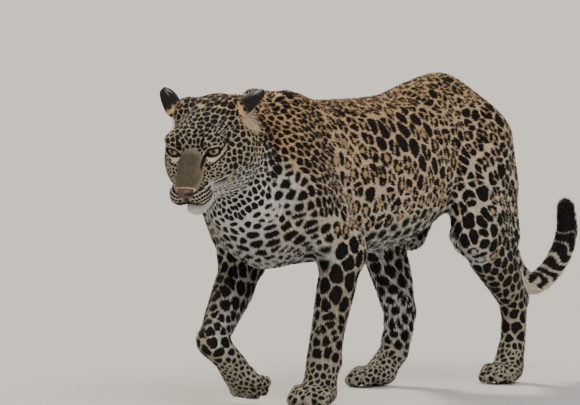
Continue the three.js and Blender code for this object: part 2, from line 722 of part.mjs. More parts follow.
const legBox = {
  foreleg_left: [[-420, -170, 30], [-200, -20, 340], [16, 16, 22]],
  foreleg_right: [[-570, 20, 80], [-250, 180, 340], [16, 16, 20]],
  hindleg_left: [[160, -190, 80], [600, 12, 700], [23, 20, 24]],
  hindleg_right: [[90, -12, 80], [600, 190, 700], [23, 20, 24]],
  forepaw_left: [[-450, -140, -14], [-260, -8, 110], [12, 12, 12]],
  forepaw_right: [[-580, -50, -14], [-350, 150, 190], [13, 13, 13]],
  hindpaw_left: [[330, -160, -14], [560, -20, 160], [12, 12, 12]],
  hindpaw_right: [[90, 20, -14], [330, 190, 160], [12, 12, 12]],
};
const legPlanes = {
  foreleg_left: [flip(CUTS.forelegs), CUTS.wrist_left],
  foreleg_right: [flip(CUTS.forelegs), CUTS.wrist_right],
  hindleg_left: [flip(CUTS.thigh_left), CUTS.middle, CUTS.hock_left],
  hindleg_right: [flip(CUTS.thigh_right), flip(CUTS.middle), CUTS.hock_right],
  forepaw_left: [flip(CUTS.wrist_left), FLOOR],
  forepaw_right: [flip(CUTS.wrist_right), FLOOR],
  hindpaw_left: [flip(CUTS.hock_left), FLOOR],
  hindpaw_right: [flip(CUTS.hock_right), FLOOR],
};
const legs = {};
for (const [name, [low, high, cell]] of Object.entries(legBox)) {
  legs[name] = trimmed(solidOf(skinOf(flesh, low, high, cell)), legPlanes[name]);
  add(name, legs[name], MATERIALS.pale);
}

// Tail

const tailBody = solidOf(tubeAlong(TAIL, 26, 10)); // 26 rings of 10 sides
const tailFree = [torso, legs.hindleg_left, legs.hindleg_right].reduce(clearOf, tailBody);
add('tail_root', trimmed(tailFree, [CUTS.tail_root]), MATERIALS.tail);
add('tail_middle', trimmed(tailFree, [flip(CUTS.tail_root), CUTS.tail_end]), MATERIALS.tail);
add('tail_end', trimmed(tailFree, [flip(CUTS.tail_end)]), MATERIALS.tail);

// Head

const headSkin = solidOf(skinOf(flesh, ...HEAD_BOX));
let head = trimmed(headSkin, [flip(CUTS.headNeck)]);

// The line of the mouth, the nostrils and the openings between the lids are cut into the face.
head = head.subtract(inHead(tubeAlong(MOUTH, 30, 8))); // 30 rings of 8 sides
const nostrils = [-1, 1].map((side) =>
  inHead(tubeAlong(NOSTRIL.map(([f, l, u, w, d]) => [f, l * side, u, w, d]), 5, 8)));
const noseLeather = nostrils.reduce(
  (left, hole) => left.subtract(hole),
  clearOf(inHead(leather()), head));
head = nostrils.reduce((left, hole) => left.subtract(hole), head);
add('nose', noseLeather, MATERIALS.nose);

for (const [name, side] of [['left', 1], ['right', -1]]) {
  const at = [EYE.at[0], EYE.at[1] * side, EYE.at[2]];
  const ball = (radius) => inHead(new THREE.SphereGeometry(radius, ...ROUND).translate(...at));
  head = head.subtract(ball(EYE.radius + GAP)).subtract(inHead(fissure(side)));
  const front = blockBeyond(toWorld(headFrame, [at[0] - 2, at[1], at[2]]), headFrame.f);
  add(`eye_${name}`, ball(EYE.radius).intersect(front), MATERIALS.eye);
}

// Ears

for (const [name, side] of [['left', 1], ['right', -1]]) {
  const ear = solidOf(earCup(EARS[name], side));
  add(`ear_${name}`, clearOf(clearOf(ear, head), neck), MATERIALS.ear);
}
add('head', head, MATERIALS.gold);

// The origin is the middle of the floor under the whole animal.
const reach = new THREE.Box3().setFromObject(leopard, true).getCenter(new THREE.Vector3());
leopard.position.set(-reach.x, -reach.y, 0);

export default leopard;
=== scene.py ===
# A walking leopard as a life-size museum model: skin, short spotted coat, eyes, nose, ears and whiskers.
# Shapes are worked out in millimetres and become metres when a mesh is made. The animal faces -X.
import math

import bpy
import numpy as np
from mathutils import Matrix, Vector


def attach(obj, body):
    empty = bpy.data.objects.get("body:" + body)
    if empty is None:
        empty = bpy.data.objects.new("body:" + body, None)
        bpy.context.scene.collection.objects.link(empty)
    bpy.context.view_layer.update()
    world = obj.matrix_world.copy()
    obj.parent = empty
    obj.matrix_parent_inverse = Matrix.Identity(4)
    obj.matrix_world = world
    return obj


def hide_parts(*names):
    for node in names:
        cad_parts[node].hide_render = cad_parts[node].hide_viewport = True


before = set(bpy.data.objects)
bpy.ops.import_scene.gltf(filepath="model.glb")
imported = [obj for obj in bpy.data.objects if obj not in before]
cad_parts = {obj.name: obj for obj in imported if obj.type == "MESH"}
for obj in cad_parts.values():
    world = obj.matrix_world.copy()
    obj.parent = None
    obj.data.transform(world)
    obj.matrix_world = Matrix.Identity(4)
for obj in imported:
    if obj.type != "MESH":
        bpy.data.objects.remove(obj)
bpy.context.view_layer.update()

rng = np.random.default_rng(11)

# Plain tools on whole arrays of points


def smooth(x, low, high):
    t = np.clip((x - low) / (high - low), 0, 1)
    return t * t * (3 - 2 * t)


def unit(v):
    return v / np.maximum(np.linalg.norm(v, axis=-1, keepdims=True), 1e-9)


def melt(a, b, k):
    # the smaller of two distances, rounded off where they are within k of each other
    h = np.maximum(k - np.abs(a - b), 0) / k
    return np.minimum(a, b) - h * h * k / 4


def carve(a, hole, k):
    # distance a with the form of hole taken out, its rim rounded over k
    return -melt(-a, hole, k)


def curveThrough(points, count):
    # a centripetal Catmull-Rom curve through rows of points, at count + 1 even steps of its parameter
    p = np.array(points, float)
    p = np.vstack([2 * p[0] - p[1], p, 2 * p[-1] - p[-2]])
    last = len(points) - 1
    place = np.linspace(0, last, count + 1)
    i = np.minimum(place.astype(int), last - 1)
    t = (place - i)[:, None]
    p0, p1, p2, p3 = p[i], p[i + 1], p[i + 2], p[i + 3]
    pairs = ((p0, p1), (p1, p2), (p2, p3))
    d0, d1, d2 = (np.sqrt(np.linalg.norm(b - a, axis=1, keepdims=True)) for a, b in pairs)
    d1 = np.where(d1 < 1e-4, 1, d1)
    d0, d2 = np.where(d0 < 1e-4, d1, d0), np.where(d2 < 1e-4, d1, d2)
    m1 = ((p1 - p0) / d0 - (p2 - p0) / (d0 + d1) + (p2 - p1) / d1) * d1
    m2 = ((p2 - p1) / d1 - (p3 - p1) / (d1 + d2) + (p3 - p2) / d2) * d1
    return (2 * p1 - 2 * p2 + m1 + m2) * t**3 + (-3 * p1 + 3 * p2 - 2 * m1 - m2) * t**2 + m1 * t + p1


# Forms: each is a distance, negative inside, with the box that it matters in


def formOf(distance, low, high, blend):
    pad = blend + 8
    return {"distance": distance, "low": np.array(low) - pad, "high": np.array(high) + pad, "blend": blend}


def mass(centre, radii, lean=0, blend=20):
    # an ellipsoid, leaned about the y axis so that its top goes back
    c, s = math.cos(math.radians(lean)), math.sin(math.radians(lean))
    centre, radii = np.array(centre, float), np.array(radii, float)

    def distance(p):
        d = p - centre
        q = np.stack([d[:, 0] * c - d[:, 2] * s, d[:, 1], d[:, 0] * s + d[:, 2] * c], 1)
        near = np.linalg.norm(q / radii, axis=1)
        steep = np.maximum(np.linalg.norm(q / radii**2, axis=1), 1e-9)
        return near * (near - 1) / steep

    return formOf(distance, centre - radii.max(), centre + radii.max(), blend)


def linksOf(path):
    # the stretches of a path: both ends with their half widths, the length, and three directions
    path = np.array(path, float)
    a, b = path[:-1], path[1:]
    along = unit(b[:, :3] - a[:, :3])
    side = unit(np.array([0, 1, 0]) - along * along[:, 1:2])
    return list(zip(a, b, np.linalg.norm(b[:, :3] - a[:, :3], axis=1), along, side, np.cross(along, side)))


def limbDistance(links, p):
    # the least distance to any link: an oval rod whose widths change evenly from end to end
    least = np.full(len(p), 1e3)
    for a, b, length, along, side, deep in links:
        o = p - a[:3]
        far = o @ along
        s = np.clip(far / length, 0, 1)
        over = far - s * length
        w, d = o @ side, o @ deep
        rw, rd = a[3] + (b[3] - a[3]) * s, a[4] + (b[4] - a[4]) * s
        away = np.sqrt(w * w + d * d + over * over)
        q = np.sqrt((w / rw) ** 2 + (d / rd) ** 2 + (over / np.minimum(rw, rd)) ** 2)
        least = np.minimum(least, away - away / np.maximum(q, 1e-6))
    return least


def limb(path, blend=20):
    links = linksOf(path)
    path = np.array(path, float)
    wide = path[:, 3:].max(axis=1)[:, None]
    low, high = (path[:, :3] - wide).min(0), (path[:, :3] + wide).max(0)
    return formOf(lambda p: limbDistance(links, p), low, high, blend)


def awayFromLink(link, p):
    # how far points are from the middle line of one stretch of a path
    start, _, length, along = link[:4]
    share = np.clip((p - start[:3]) @ along / length, 0, 1)[:, None]
    return np.linalg.norm(p - start[:3] - share * length * along, axis=1)


def meltForms(d, p, forms):
    # runs each form into the distance d, only at the points inside its box
    for one in forms:
        near = np.flatnonzero(np.all((p > one["low"]) & (p < one["high"]), axis=1))
        if len(near):
            d[near] = melt(d[near], one["distance"](p[near]), one["blend"])
    return d


def groupOf(forms, blend):
    # several forms melted together, used as one
    low = np.min([one["low"] for one in forms], axis=0)
    high = np.max([one["high"] for one in forms], axis=0)
    return formOf(lambda p: meltForms(np.full(len(p), 1e3), p, forms), low, high, blend)


# Trunk: x, top of the back, bottom of the belly, half width
trunkShape = {
    "stations": [
        (-505, 540, 380, 62), (-450, 602, 318, 96), (-390, 634, 297, 112), (-310, 640, 292, 122),
        (-210, 637, 295, 131), (-110, 637, 300, 136), (-10, 639, 304, 134), (80, 646, 314, 124),
        (160, 664, 336, 112), (240, 680, 366, 104), (310, 686, 402, 98), (375, 662, 440, 86),
        (436, 614, 480, 64),
    ],
    "step": 10,
    "sag": 0.1,  # how much wider it is low than high
}


def trunkRows(shape):
    rows = np.array(shape["stations"], float)
    line = curveThrough(rows[:, [0, 1, 2]], 400)
    width = curveThrough(np.stack([rows[:, 0], rows[:, 3], 0 * rows[:, 0]], 1), 400)[:, 1]
    x = np.arange(rows[0, 0], rows[-1, 0] + 1, shape["step"])
    return x, [np.interp(x, line[:, 0], v) for v in (line[:, 1], line[:, 2], width)]


trunkX, trunkCurves = trunkRows(trunkShape)


def trunkDistance(p):
    # an oval at each x, from the smoothed stations, rounded off past both ends
    x = np.clip(p[:, 0], trunkX[0], trunkX[-1])
    over = p[:, 0] - x
    top, low, width = [np.interp(x, trunkX, v) for v in trunkCurves]
    half = (top - low) / 2
    dz = p[:, 2] - (top + low) / 2
    w = width * (1 - trunkShape["sag"] * np.clip(dz / half, -1, 1))
    away = np.sqrt(p[:, 1] ** 2 + dz**2 + over**2)
    q = np.sqrt((p[:, 1] / w) ** 2 + (dz / half) ** 2 + (over / np.minimum(w, half)) ** 2)
    return away - away / np.maximum(q, 1e-6)


trunk = formOf(trunkDistance, (-570, -150, 290), (500, 150, 690), 60)

neckPath = [(-370, 0, 520, 98, 128), (-480, 1, 533, 92, 122), (-560, 2, 554, 84, 102), (-604, 3, 566, 78, 84)]
shoulderPaths = {
    "left": {
        "blade": [(-418, -52, 636, 22, 50), (-440, -92, 545, 32, 66), (-455, -104, 462, 40, 62)],
        "arm": [(-440, -104, 470, 40, 72), (-360, -108, 385, 40, 70), (-288, -106, 315, 37, 48)],
    },
    "right": {
        "blade": [(-372, 52, 632, 22, 50), (-415, 92, 548, 32, 66), (-448, 104, 468, 40, 62)],
        "arm": [(-440, 106, 470, 40, 72), (-385, 110, 380, 40, 68), (-330, 110, 300, 38, 48)],
    },
}
haunchPaths = {
    "left": {
        "thigh": [(374, -66, 556, 58, 94), (340, -90, 470, 58, 108), (305, -100, 390, 50, 92),
                  (275, -106, 335, 42, 56)],
        "ham": [(418, -58, 535, 40, 54), (411, -82, 430, 46, 54), (428, -92, 330, 38, 44)],
    },
    "right": {
        "thigh": [(375, 66, 555, 58, 96), (300, 88, 470, 58, 104), (240, 94, 395, 50, 84),
                  (205, 94, 340, 42, 54)],
        "ham": [(426, 56, 540, 40, 56), (380, 80, 430, 46, 56), (325, 86, 330, 38, 44)],
    },
}
bodyForms = [
    trunk,
    limb(neckPath, 60),
    mass((-440, 0, 408), (92, 108, 112), 0, 50),  # breast
    mass((-505, 0, 430), (60, 78, 88), -20, 50),  # front of the chest
    mass((380, 0, 578), (76, 60, 66), 20, 40),  # croup
]
for paths in shoulderPaths.values():
    bodyForms += [limb(paths["blade"], 34), limb(paths["arm"], 34)]
for paths in haunchPaths.values():
    bodyForms += [limb(paths["thigh"], 45), limb(paths["ham"], 40)]

# Legs: each path runs from inside the body to the foot, with a few bony bumps
legShapes = {
    "forelegLeft": {
        "path": [(-290, -104, 320, 38, 52), (-304, -97, 250, 40, 46), (-316, -84, 160, 34, 37),
                 (-322, -77, 100, 35, 36), (-330, -73, 50, 36, 34)],
        "bumps": [((-258, -105, 318), (24, 20, 30)), ((-318, -78, 92), (22, 34, 22))],
    },
    "forelegRight": {
        "path": [(-330, 110, 308, 40, 54), (-385, 104, 245, 40, 48), (-455, 95, 180, 33, 38),
                 (-503, 86, 140, 30, 34)],
        "bumps": [((-300, 110, 305), (26, 22, 30))],
    },
    "hindlegLeft": {
        "path": [(285, -108, 352, 44, 62), (350, -100, 300, 43, 66), (415, -96, 245, 37, 54),
                 (470, -92, 190, 31, 38), (484, -90, 150, 29, 31), (480, -90, 95, 29, 27),
                 (462, -90, 45, 34, 30)],
        "bumps": [((512, -91, 182), (22, 20, 26)), ((256, -108, 338), (30, 30, 36))],
    },
    "hindlegRight": {
        "path": [(202, 94, 350, 44, 60), (226, 90, 290, 43, 60), (248, 82, 225, 39, 52),
                 (261, 76, 170, 35, 43), (262, 76, 130, 33, 38), (248, 80, 74, 32, 32),
                 (226, 94, 42, 34, 28)],
        "bumps": [((294, 74, 158), (20, 20, 24)), ((185, 94, 342), (28, 30, 34))],
    },
}
wristBend = [(-503, 86, 140, 30, 34), (-462, 64, 92, 32, 26)]  # the lifted forefoot hangs from here

# Paws: a frame under the ball of each foot, facing its toes
pawShapes = {
    "forelegLeft": {"at": (-340, -72, 24), "ahead": (-1, -0.05, 0), "up": (0, 0, 1), "size": 1.06},
    "forelegRight": {"at": (-442, 56, 64), "ahead": (0.6, -0.4, -0.7), "up": (-0.75, 0, -0.4), "size": 1.0},
    "hindlegLeft": {"at": (442, -91, 24), "ahead": (-1, -0.08, 0), "up": (0, 0, 1), "size": 1.0},
    "hindlegRight": {"at": (206, 102, 24), "ahead": (-0.88, 0.48, 0), "up": (0, 0, 1), "size": 1.0},
}
toes = [(-30, 24), (-11, 38), (11, 38), (30, 24)]  # across, ahead


def frameOf(at, ahead, up, size):
    f = unit(np.array(ahead, float))
    u = np.array(up, float)
    u = unit(u - f * (u @ f))
    return {"at": np.array(at, float), "axes": np.stack([f, np.cross(u, f), u], 1), "size": size}


def toLocal(own, p):
    return (p - own["at"]) @ own["axes"] / own["size"]


def toWorld(own, p):
    return own["at"] + own["size"] * (np.asarray(p, float) @ own["axes"].T)


def onOneSide(q):
    # points of a form that is alike on both sides, all put on its left
    return np.stack([q[:, 0], np.abs(q[:, 1]), q[:, 2]], 1)


def ovalShare(q, oval):
    # 0 in the middle of an oval and 1 on its surface
    return np.linalg.norm((q - oval["at"]) / oval["radii"], axis=1)


pawFrames = {name: frameOf(**shape) for name, shape in pawShapes.items()}
pawForms = [mass((0, 0, 0), (44, 37, 26), 0, 1)]
for across, ahead in toes:
    pawForms.append(limb([(ahead * 0.2, across * 0.7, 2, 15, 16), (ahead, across, 5, 15, 16),
                          (ahead + 20, across * 1.08, -10, 12.5, 14)], 7))


def pawForm(own):
    def distance(p):
        return own["size"] * meltForms(np.full(len(p), 1e3), toLocal(own, p), pawForms)

    reach = 90
    return formOf(distance, own["at"] - reach, own["at"] + reach, 16)


legForms = {}
for name, shape in legShapes.items():
    forms = [limb(shape["path"], 1)] + [mass(c, r, 0, 18) for c, r in shape["bumps"]]
    if name == "forelegRight":
        forms.append(limb(wristBend, 14))
    legForms[name] = groupOf(forms + [pawForm(pawFrames[name])], 48)

# Tail: x, y, z, half width, half depth
tailShape = {
    "path": [
        (430, 0, 612, 34, 34), (494, 0, 556, 32, 32), (548, 0, 478, 29, 29), (582, 0, 390, 27, 27),
        (602, -4, 300, 27, 27), (628, -14, 236, 27, 27), (673, -30, 206, 27, 27), (718, -50, 228, 27, 27),
        (748, -66, 272, 27, 27), (762, -74, 320, 26, 26), (761, -72, 372, 22, 22),
    ],
    "links": 26,
}
tailRows = np.hstack([curveThrough(np.array(tailShape["path"])[:, :3], tailShape["links"]),
                      curveThrough(np.array(tailShape["path"])[:, [3, 4, 4]], tailShape["links"])[:, :2]])
tailForm = limb(tailRows, 18)

# Head, in its own frame: ahead, left and up from the middle between the eyes
headShape = {"at": (-710, -4, 549), "yaw": 9, "pitch": 29, "roll": 1, "size": 1.07}


def headFrameOf(at, yaw, pitch, roll, size):
    y, t, r = (math.radians(v) for v in (yaw, pitch, roll))
    ahead = np.array([-math.cos(t) * math.cos(y), -math.cos(t) * math.sin(y), -math.sin(t)])
    level = np.array([math.sin(y), -math.cos(y), 0])
    return frameOf(at, ahead, np.cross(ahead, level) * math.cos(r) - level * math.sin(r), size)


headFrame = headFrameOf(**headShape)
eyeShape = {"at": (3, 39, 0), "radius": 17, "long": 29, "high": 16, "gaze": (0.96, 0.25, 0.06)}
headMiddle = [
    mass((-72, 0, -8), (84, 64, 60), 0, 1),  # cranium
    mass((-26, 0, 12), (48, 48, 31), 0, 20),  # forehead
    limb([(-6, 0, 2, 24, 18), (46, 0, -14, 24, 18), (84, 0, -37, 19, 13)], 14),  # bridge
    limb([(10, 0, -44, 44, 38), (68, 0, -58, 31, 24)], 14),  # muzzle
    mass((-58, 0, -76), (74, 54, 46), 0, 20),  # throat
    limb([(-20, 0, -92, 38, 22), (56, 0, -101, 21, 14)], 12),  # jaw and chin
]
headPairs = [
    mass((0, 36, 20), (26, 24, 13), 0, 14),  # brow
    limb([(22, 40, -36, 20, 22), (-60, 60, -30, 28, 32)], 20),  # cheekbone
    mass((-46, 48, -62), (60, 38, 46), 0, 24),  # cheek
    mass((-88, 46, 28), (36, 26, 27), 0, 16),  # root of the ear
    mass((64, 20, -62), (31, 23, 23), 0, 8),  # whisker pad
    mass((1, 39, -1), (23, 24, 22), 0, 8),  # round the eye
]


def headDistance(p):
    q = toLocal(headFrame, p)
    d = meltForms(np.full(len(p), 1e3), q, headMiddle)
    q[:, 1] = np.abs(q[:, 1])
    return headFrame["size"] * meltForms(d, q, headPairs)


headForm = formOf(headDistance, (-905, -210, 350), (-488, 210, 760), 36)
headForm["high"][0] = -480


def legBlend(z):
    # the legs run widely into the body and hardly into one another lower down
    return 4 + 44 * smooth(z, 210, 330)


def flesh(p):
    # the whole animal out to the tips of its hair
    d = meltForms(np.full(len(p), 1e3), p, bodyForms)
    for one in legForms.values():
        near = np.flatnonzero(np.all((p > one["low"]) & (p < one["high"]), axis=1))
        if len(near):
            d[near] = melt(d[near], one["distance"](p[near]), legBlend(p[near][:, 2]))
    return meltForms(d, p, [headForm, tailForm])


# Skin: it lies inside the flesh by the depth of the coat
coatDepth = {"body": 4.2, "leg": 2.8, "face": 1.5, "paw": 1.6, "belly": 9.0, "tail": 6.0, "floor": 0.6}
pawCentres = np.array([own["at"] for own in pawFrames.values()])


def zonesOf(p):
    # how far each point belongs to the face, paws, legs, belly and tail, from 0 to 1
    x, y, z = p.T
    q = toLocal(headFrame, p)
    away = np.linalg.norm(q - np.array([0, 0, -40]), axis=1)
    face = smooth(q[:, 0], -78, -28) * (1 - smooth(away, 150, 190))
    head = smooth(q[:, 0], -150, -100) * (1 - smooth(away, 190, 240))
    toPaw = np.min([np.linalg.norm(p - c, axis=1) for c in pawCentres], axis=0)
    paw = 1 - smooth(toPaw, 70, 105)
    tail = smooth(x, 528, 556) * (1 - smooth(z, 470, 520)) + smooth(x, 470, 500) * smooth(z, 500, 540)
    tail = np.clip(tail, 0, 1)
    leg = (1 - smooth(z, 265, 315)) * (1 - tail)
    belly = 1 - smooth(z - 0.13 * np.maximum(x, 0), 316, 352)
    belly = belly * smooth(x, -330, -250) * (1 - smooth(x, 230, 300)) * (1 - smooth(np.abs(y), 84, 118))
    return {"face": face, "head": head, "paw": paw, "tail": tail, "leg": leg, "belly": belly}


def depthOf(p):
    zone = zonesOf(p)
    depth = np.full(len(p), coatDepth["body"])
    for name in ("leg", "belly", "tail", "face", "paw"):
        depth += (coatDepth[name] - depth) * zone[name]
    return depth


mouthHalf = [(90, 0, -81, 2.4, 12), (84, 12, -86, 2.4, 12), (70, 26, -87, 2.2, 11), (55, 36, -81, 2, 9),
             (44, 42, -73, 1.8, 7), (34, 46, -67, 1.4, 4)]
mouthLine = limb(mouthHalf, 3)
lipCleft = limb([(92, 0, -54, 1.6, 5), (92, 0, -82, 1.6, 5)], 3)


def eyeFrame(side):
    # the middle of the globe, and the directions outward, up and along the gaze
    gaze = unit(np.array([eyeShape["gaze"][0], eyeShape["gaze"][1] * side, eyeShape["gaze"][2]]))
    outward = unit(np.array([0, side, 0]) - gaze * gaze[1] * side)
    centre = np.array(eyeShape["at"], float) * (1, side, 1)
    return centre, np.stack([outward, np.cross(gaze, outward) * side, gaze], 1)


def beforeEye(half):
    # how far outward from the eye, above it and before it points of the head's left half are
    centre, axes = eyeFrame(1)
    return (half - centre) @ axes


def lidArcs(t, tall):
    # the middle line of the opening from the inner corner, t = -1, to the outer,
    # and how far each lid is from it
    middle = tall * (0.20 * t - 0.10 - 0.28 * np.maximum(-t, 0) ** 2)
    high = tall * 0.68 * np.maximum(1 - np.abs(t) ** 3.2, 0) ** 0.6
    low = tall * 0.95 * np.sqrt(np.maximum(1 - np.abs(t) ** 2.0, 0))
    return middle, high, low


def almondDistance(across, rise):
    # the opening between the lids, an almond whose inner corner is low
    half, tall = eyeShape["long"] / 2, eyeShape["high"] / 2
    t = np.clip(across / half, -1, 1)
    middle, high, low = lidArcs(t, tall)
    lid = np.where(rise > middle, rise - middle - high, middle - rise - low)
    past = np.maximum(np.abs(across) - half, 0)
    return np.where(past > 0, np.hypot(past, np.maximum(lid, 0)), lid)


def headCuts(d, p):
    # sockets behind the lids, the line of the mouth and the cleft of the lip
    q = toLocal(headFrame, p)
    near = np.flatnonzero((q[:, 0] > -30) & (np.abs(q).max(axis=1) < 130))
    half = onOneSide(q[near])
    size = headFrame["size"]
    e = beforeEye(half)
    ball = np.linalg.norm(e, axis=1) - eyeShape["radius"] - 0.3
    # the pit between the lids goes just behind the front of the globe
    pit = np.maximum(np.maximum(almondDistance(e[:, 0], e[:, 1]), -ball - 2.2), -e[:, 2])
    own = carve(d[near], pit * size, 1.6)
    own = carve(own, mouthLine["distance"](half) * size, 3)
    d[near] = carve(own, lipCleft["distance"](half) * size, 3)
    return d


def skinDistance(p):
    return headCuts(flesh(p) + depthOf(p), p)


# Meshing: a net of points over the zero of a distance


def netOver(values, low, cell):
    # one point in each grid cell that the surface cuts, at the middle of its cut edges,
    # and one four-sided face across each grid edge that it cuts
    inside = values < 0
    shape = np.array(values.shape) - 1
    total = np.zeros((*shape, 3))
    count = np.zeros(shape)
    crossed = []
    for axis in range(3):
        first, second = [slice(None)] * 3, [slice(None)] * 3
        first[axis], second[axis] = slice(0, -1), slice(1, None)
        a, b = values[tuple(first)], values[tuple(second)]
        cut = np.argwhere(inside[tuple(first)] != inside[tuple(second)])
        va, vb = a[tuple(cut.T)], b[tuple(cut.T)]
        place = cut.astype(float)
        place[:, axis] += va / (va - vb)
        u, v = (axis + 1) % 3, (axis + 2) % 3
        for du in (0, 1):
            for dv in (0, 1):
                home = cut.copy()
                home[:, u] -= du
                home[:, v] -= dv
                good = np.all((home >= 0) & (home < shape), axis=1)
                np.add.at(total, tuple(home[good].T), place[good])
                np.add.at(count, tuple(home[good].T), 1)
        crossed.append((axis, cut, va < 0))
    cells = count > 0
    number = np.full(shape, -1)
    number[cells] = np.arange(cells.sum())
    points = low + total[cells] / count[cells][:, None] * cell
    quads = []
    for axis, cut, falls in crossed:
        u, v = (axis + 1) % 3, (axis + 2) % 3
        ring = []
        for du, dv in ((0, 0), (1, 0), (1, 1), (0, 1)):
            home = cut.copy()
            home[:, u] -= du
            home[:, v] -= dv
            ring.append(number[tuple(home.T)])
        ring = np.stack(ring, 1)
        ring[~falls] = ring[~falls][:, ::-1]
        quads.append(ring)
    return points, np.vstack(quads)


def splitQuads(points, quads):
    # each four-sided face is cut along its shorter diagonal
    a, b, c, d = (points[quads[:, i]] for i in range(4))
    short = np.linalg.norm(a - c, axis=1) < np.linalg.norm(b - d, axis=1)
    one = np.where(short[:, None], quads[:, [0, 1, 2]], quads[:, [0, 1, 3]])
    two = np.where(short[:, None], quads[:, [0, 2, 3]], quads[:, [1, 2, 3]])
    return np.vstack([one, two])


def slopeOf(distance, p, step=0.5):
    here = distance(p)
    return here, np.stack([distance(p + step * e) - here for e in np.eye(3)], 1) / step


def pulled(distance, start, reach, rounds=2):
    # points moved onto the surface by Newton steps, no further than their reach
    p = start.copy()
    for _ in range(rounds):
        here, slope = slopeOf(distance, p)
        steep = np.maximum((slope**2).sum(1), 0.05)
        p -= here[:, None] * slope / steep[:, None]
        p = start + np.clip(p - start, -reach, reach)
    return p


def evened(points, tris, share):
    # each point goes part of the way to the middle of its neighbours
    edges = np.vstack([tris[:, [0, 1]], tris[:, [1, 2]], tris[:, [2, 0]]])
    n = np.maximum(np.bincount(edges[:, 0], minlength=len(points)), 1)
    sums = [np.bincount(edges[:, 0], points[edges[:, 1], i], len(points)) for i in range(3)]
    middle = np.stack([one / n for one in sums], 1)
    return points + (middle - points) * share


def refined(points, tris, wanted):
    # every edge whose middle is wanted is halved, and its triangles are split to match
    edges = np.sort(np.vstack([tris[:, [0, 1]], tris[:, [1, 2]], tris[:, [2, 0]]]), axis=1)
    key, back = np.unique(edges[:, 0] * len(points) + edges[:, 1], return_inverse=True)
    ends = np.stack([key // len(points), key % len(points)], 1)
    middle = points[ends].mean(axis=1)
    halved = wanted(middle)
    number = np.full(len(key), -1)
    number[halved] = len(points) + np.arange(halved.sum())
    m = number[back].reshape(3, -1).T
    cut = m >= 0
    kinds = cut.sum(axis=1)
    out = [tris[kinds == 0]]
    three = kinds == 3
    t, h = tris[three], m[three]
    out += [np.stack(c, 1) for c in ((t[:, 0], h[:, 0], h[:, 2]), (h[:, 0], t[:, 1], h[:, 1]),
                                     (h[:, 2], h[:, 1], t[:, 2]), (h[:, 0], h[:, 1], h[:, 2]))]
    for turn in range(3):  # the edge from corner turn to the next one is cut, or is the one left whole
        i, j, k = turn, (turn + 1) % 3, (turn + 2) % 3
        one = (kinds == 1) & cut[:, i]
        t, h = tris[one], m[one]
        out += [np.stack([t[:, i], h[:, i], t[:, k]], 1), np.stack([h[:, i], t[:, j], t[:, k]], 1)]
        two = (kinds == 2) & ~cut[:, i]
        t, h = tris[two], m[two]
        out += [np.stack([h[:, j], t[:, k], h[:, k]], 1), np.stack([t[:, i], t[:, j], h[:, j]], 1),
                np.stack([t[:, i], h[:, j], h[:, k]], 1)]
    return np.vstack([points, middle[halved]]), np.vstack(out)


skinShape = {"low": (-870, -190, -16), "high": (800, 190, 706), "cell": 7.4}


def wantedOnce(p):
    # the head and the paws
    q = toLocal(headFrame, p)
    away = np.linalg.norm(q - np.array([-10, 0, -40]), axis=1)
    toPaw = np.min([np.linalg.norm(p - c, axis=1) for c in pawCentres], axis=0)
    return (away < 150) | (toPaw < 88)


def wantedTwice(p):
    # the face
    q = toLocal(headFrame, p)
    return (q[:, 0] > -20) & (np.abs(q[:, 1]) < 66) & (q[:, 2] > -125) & (q[:, 2] < 30)


def wantedThrice(p):
    # the lids and the lips
    half = onOneSide(toLocal(headFrame, p))
    e = beforeEye(half)
    lids = (np.hypot(e[:, 0] / 21, e[:, 1] / 15) < 1) & (e[:, 2] > 2)
    lips = np.abs(mouthLine["distance"](half)) < 4
    return lids | (lips & (half[:, 0] > 20))


def makeSkin(shape):
    # a coarse net over the flesh less its coat, evened out, then finer on paws, head, face, lids and lips
    low, cell = np.array(shape["low"], float), shape["cell"]
    counts = np.ceil((np.array(shape["high"]) - low) / cell).astype(int) + 1
    axes = [low[i] + cell * np.arange(counts[i]) for i in range(3)]
    grid = np.stack(np.meshgrid(*axes, indexing="ij"), -1).reshape(-1, 3)
    values = (flesh(grid) + depthOf(grid)).reshape(counts)
    values = np.maximum(values, (coatDepth["floor"] - grid[:, 2]).reshape(counts))
    points, quads = netOver(values, low, cell)
    tris = splitQuads(points, quads)

    def plain(p):
        return np.maximum(flesh(p) + depthOf(p), coatDepth["floor"] - p[:, 2])

    def withCuts(p):
        return np.maximum(skinDistance(p), coatDepth["floor"] - p[:, 2])

    points = pulled(plain, points, cell * 0.6)
    for _ in range(2):
        points = pulled(plain, evened(points, tris, 0.5), cell * 0.4, 1)
    for wanted, size in ((wantedOnce, cell / 2), (wantedTwice, cell / 4), (wantedThrice, cell / 8)):
        points, tris = refined(points, tris, wanted)
        moved = evened(points, tris, 0.35)
        finer = wanted(points)
        points[finer] = pulled(withCuts, moved[finer], size + 3)
    return points, tris


print("skin: working out the surface")
skinPoints, skinTris = makeSkin(skinShape)
print("skin:", len(skinPoints), "points,", len(skinTris), "triangles")


def normalsOf(points, tris):
    # each point's normal, weighted by the faces round it, and its share of the surface
    a, b, c = (points[tris[:, i]] for i in range(3))
    face = np.cross(b - a, c - a)

    def gathered(values):
        return sum(np.bincount(tris[:, j], values, len(points)) for j in range(3))

    total = np.stack([gathered(face[:, i]) for i in range(3)], 1)
    return unit(total), gathered(np.linalg.norm(face, axis=1)) / 6


# Lie of the coat: each part's own direction of hair, weighted by how near a point is to that part
hairLies = {
    "trunk": (1, 0, -0.3), "neck": (0.92, 0, -0.34), "breast": (0.45, 0, -0.9), "chest": (0.25, 0, -1.0),
    "arm": (0.5, 0, -0.85), "blade": (0.85, 0, -0.5), "thigh": (0.62, 0, -0.78), "ham": (0.5, 0, -0.85),
    "shin": (0.25, 0, 0),
}
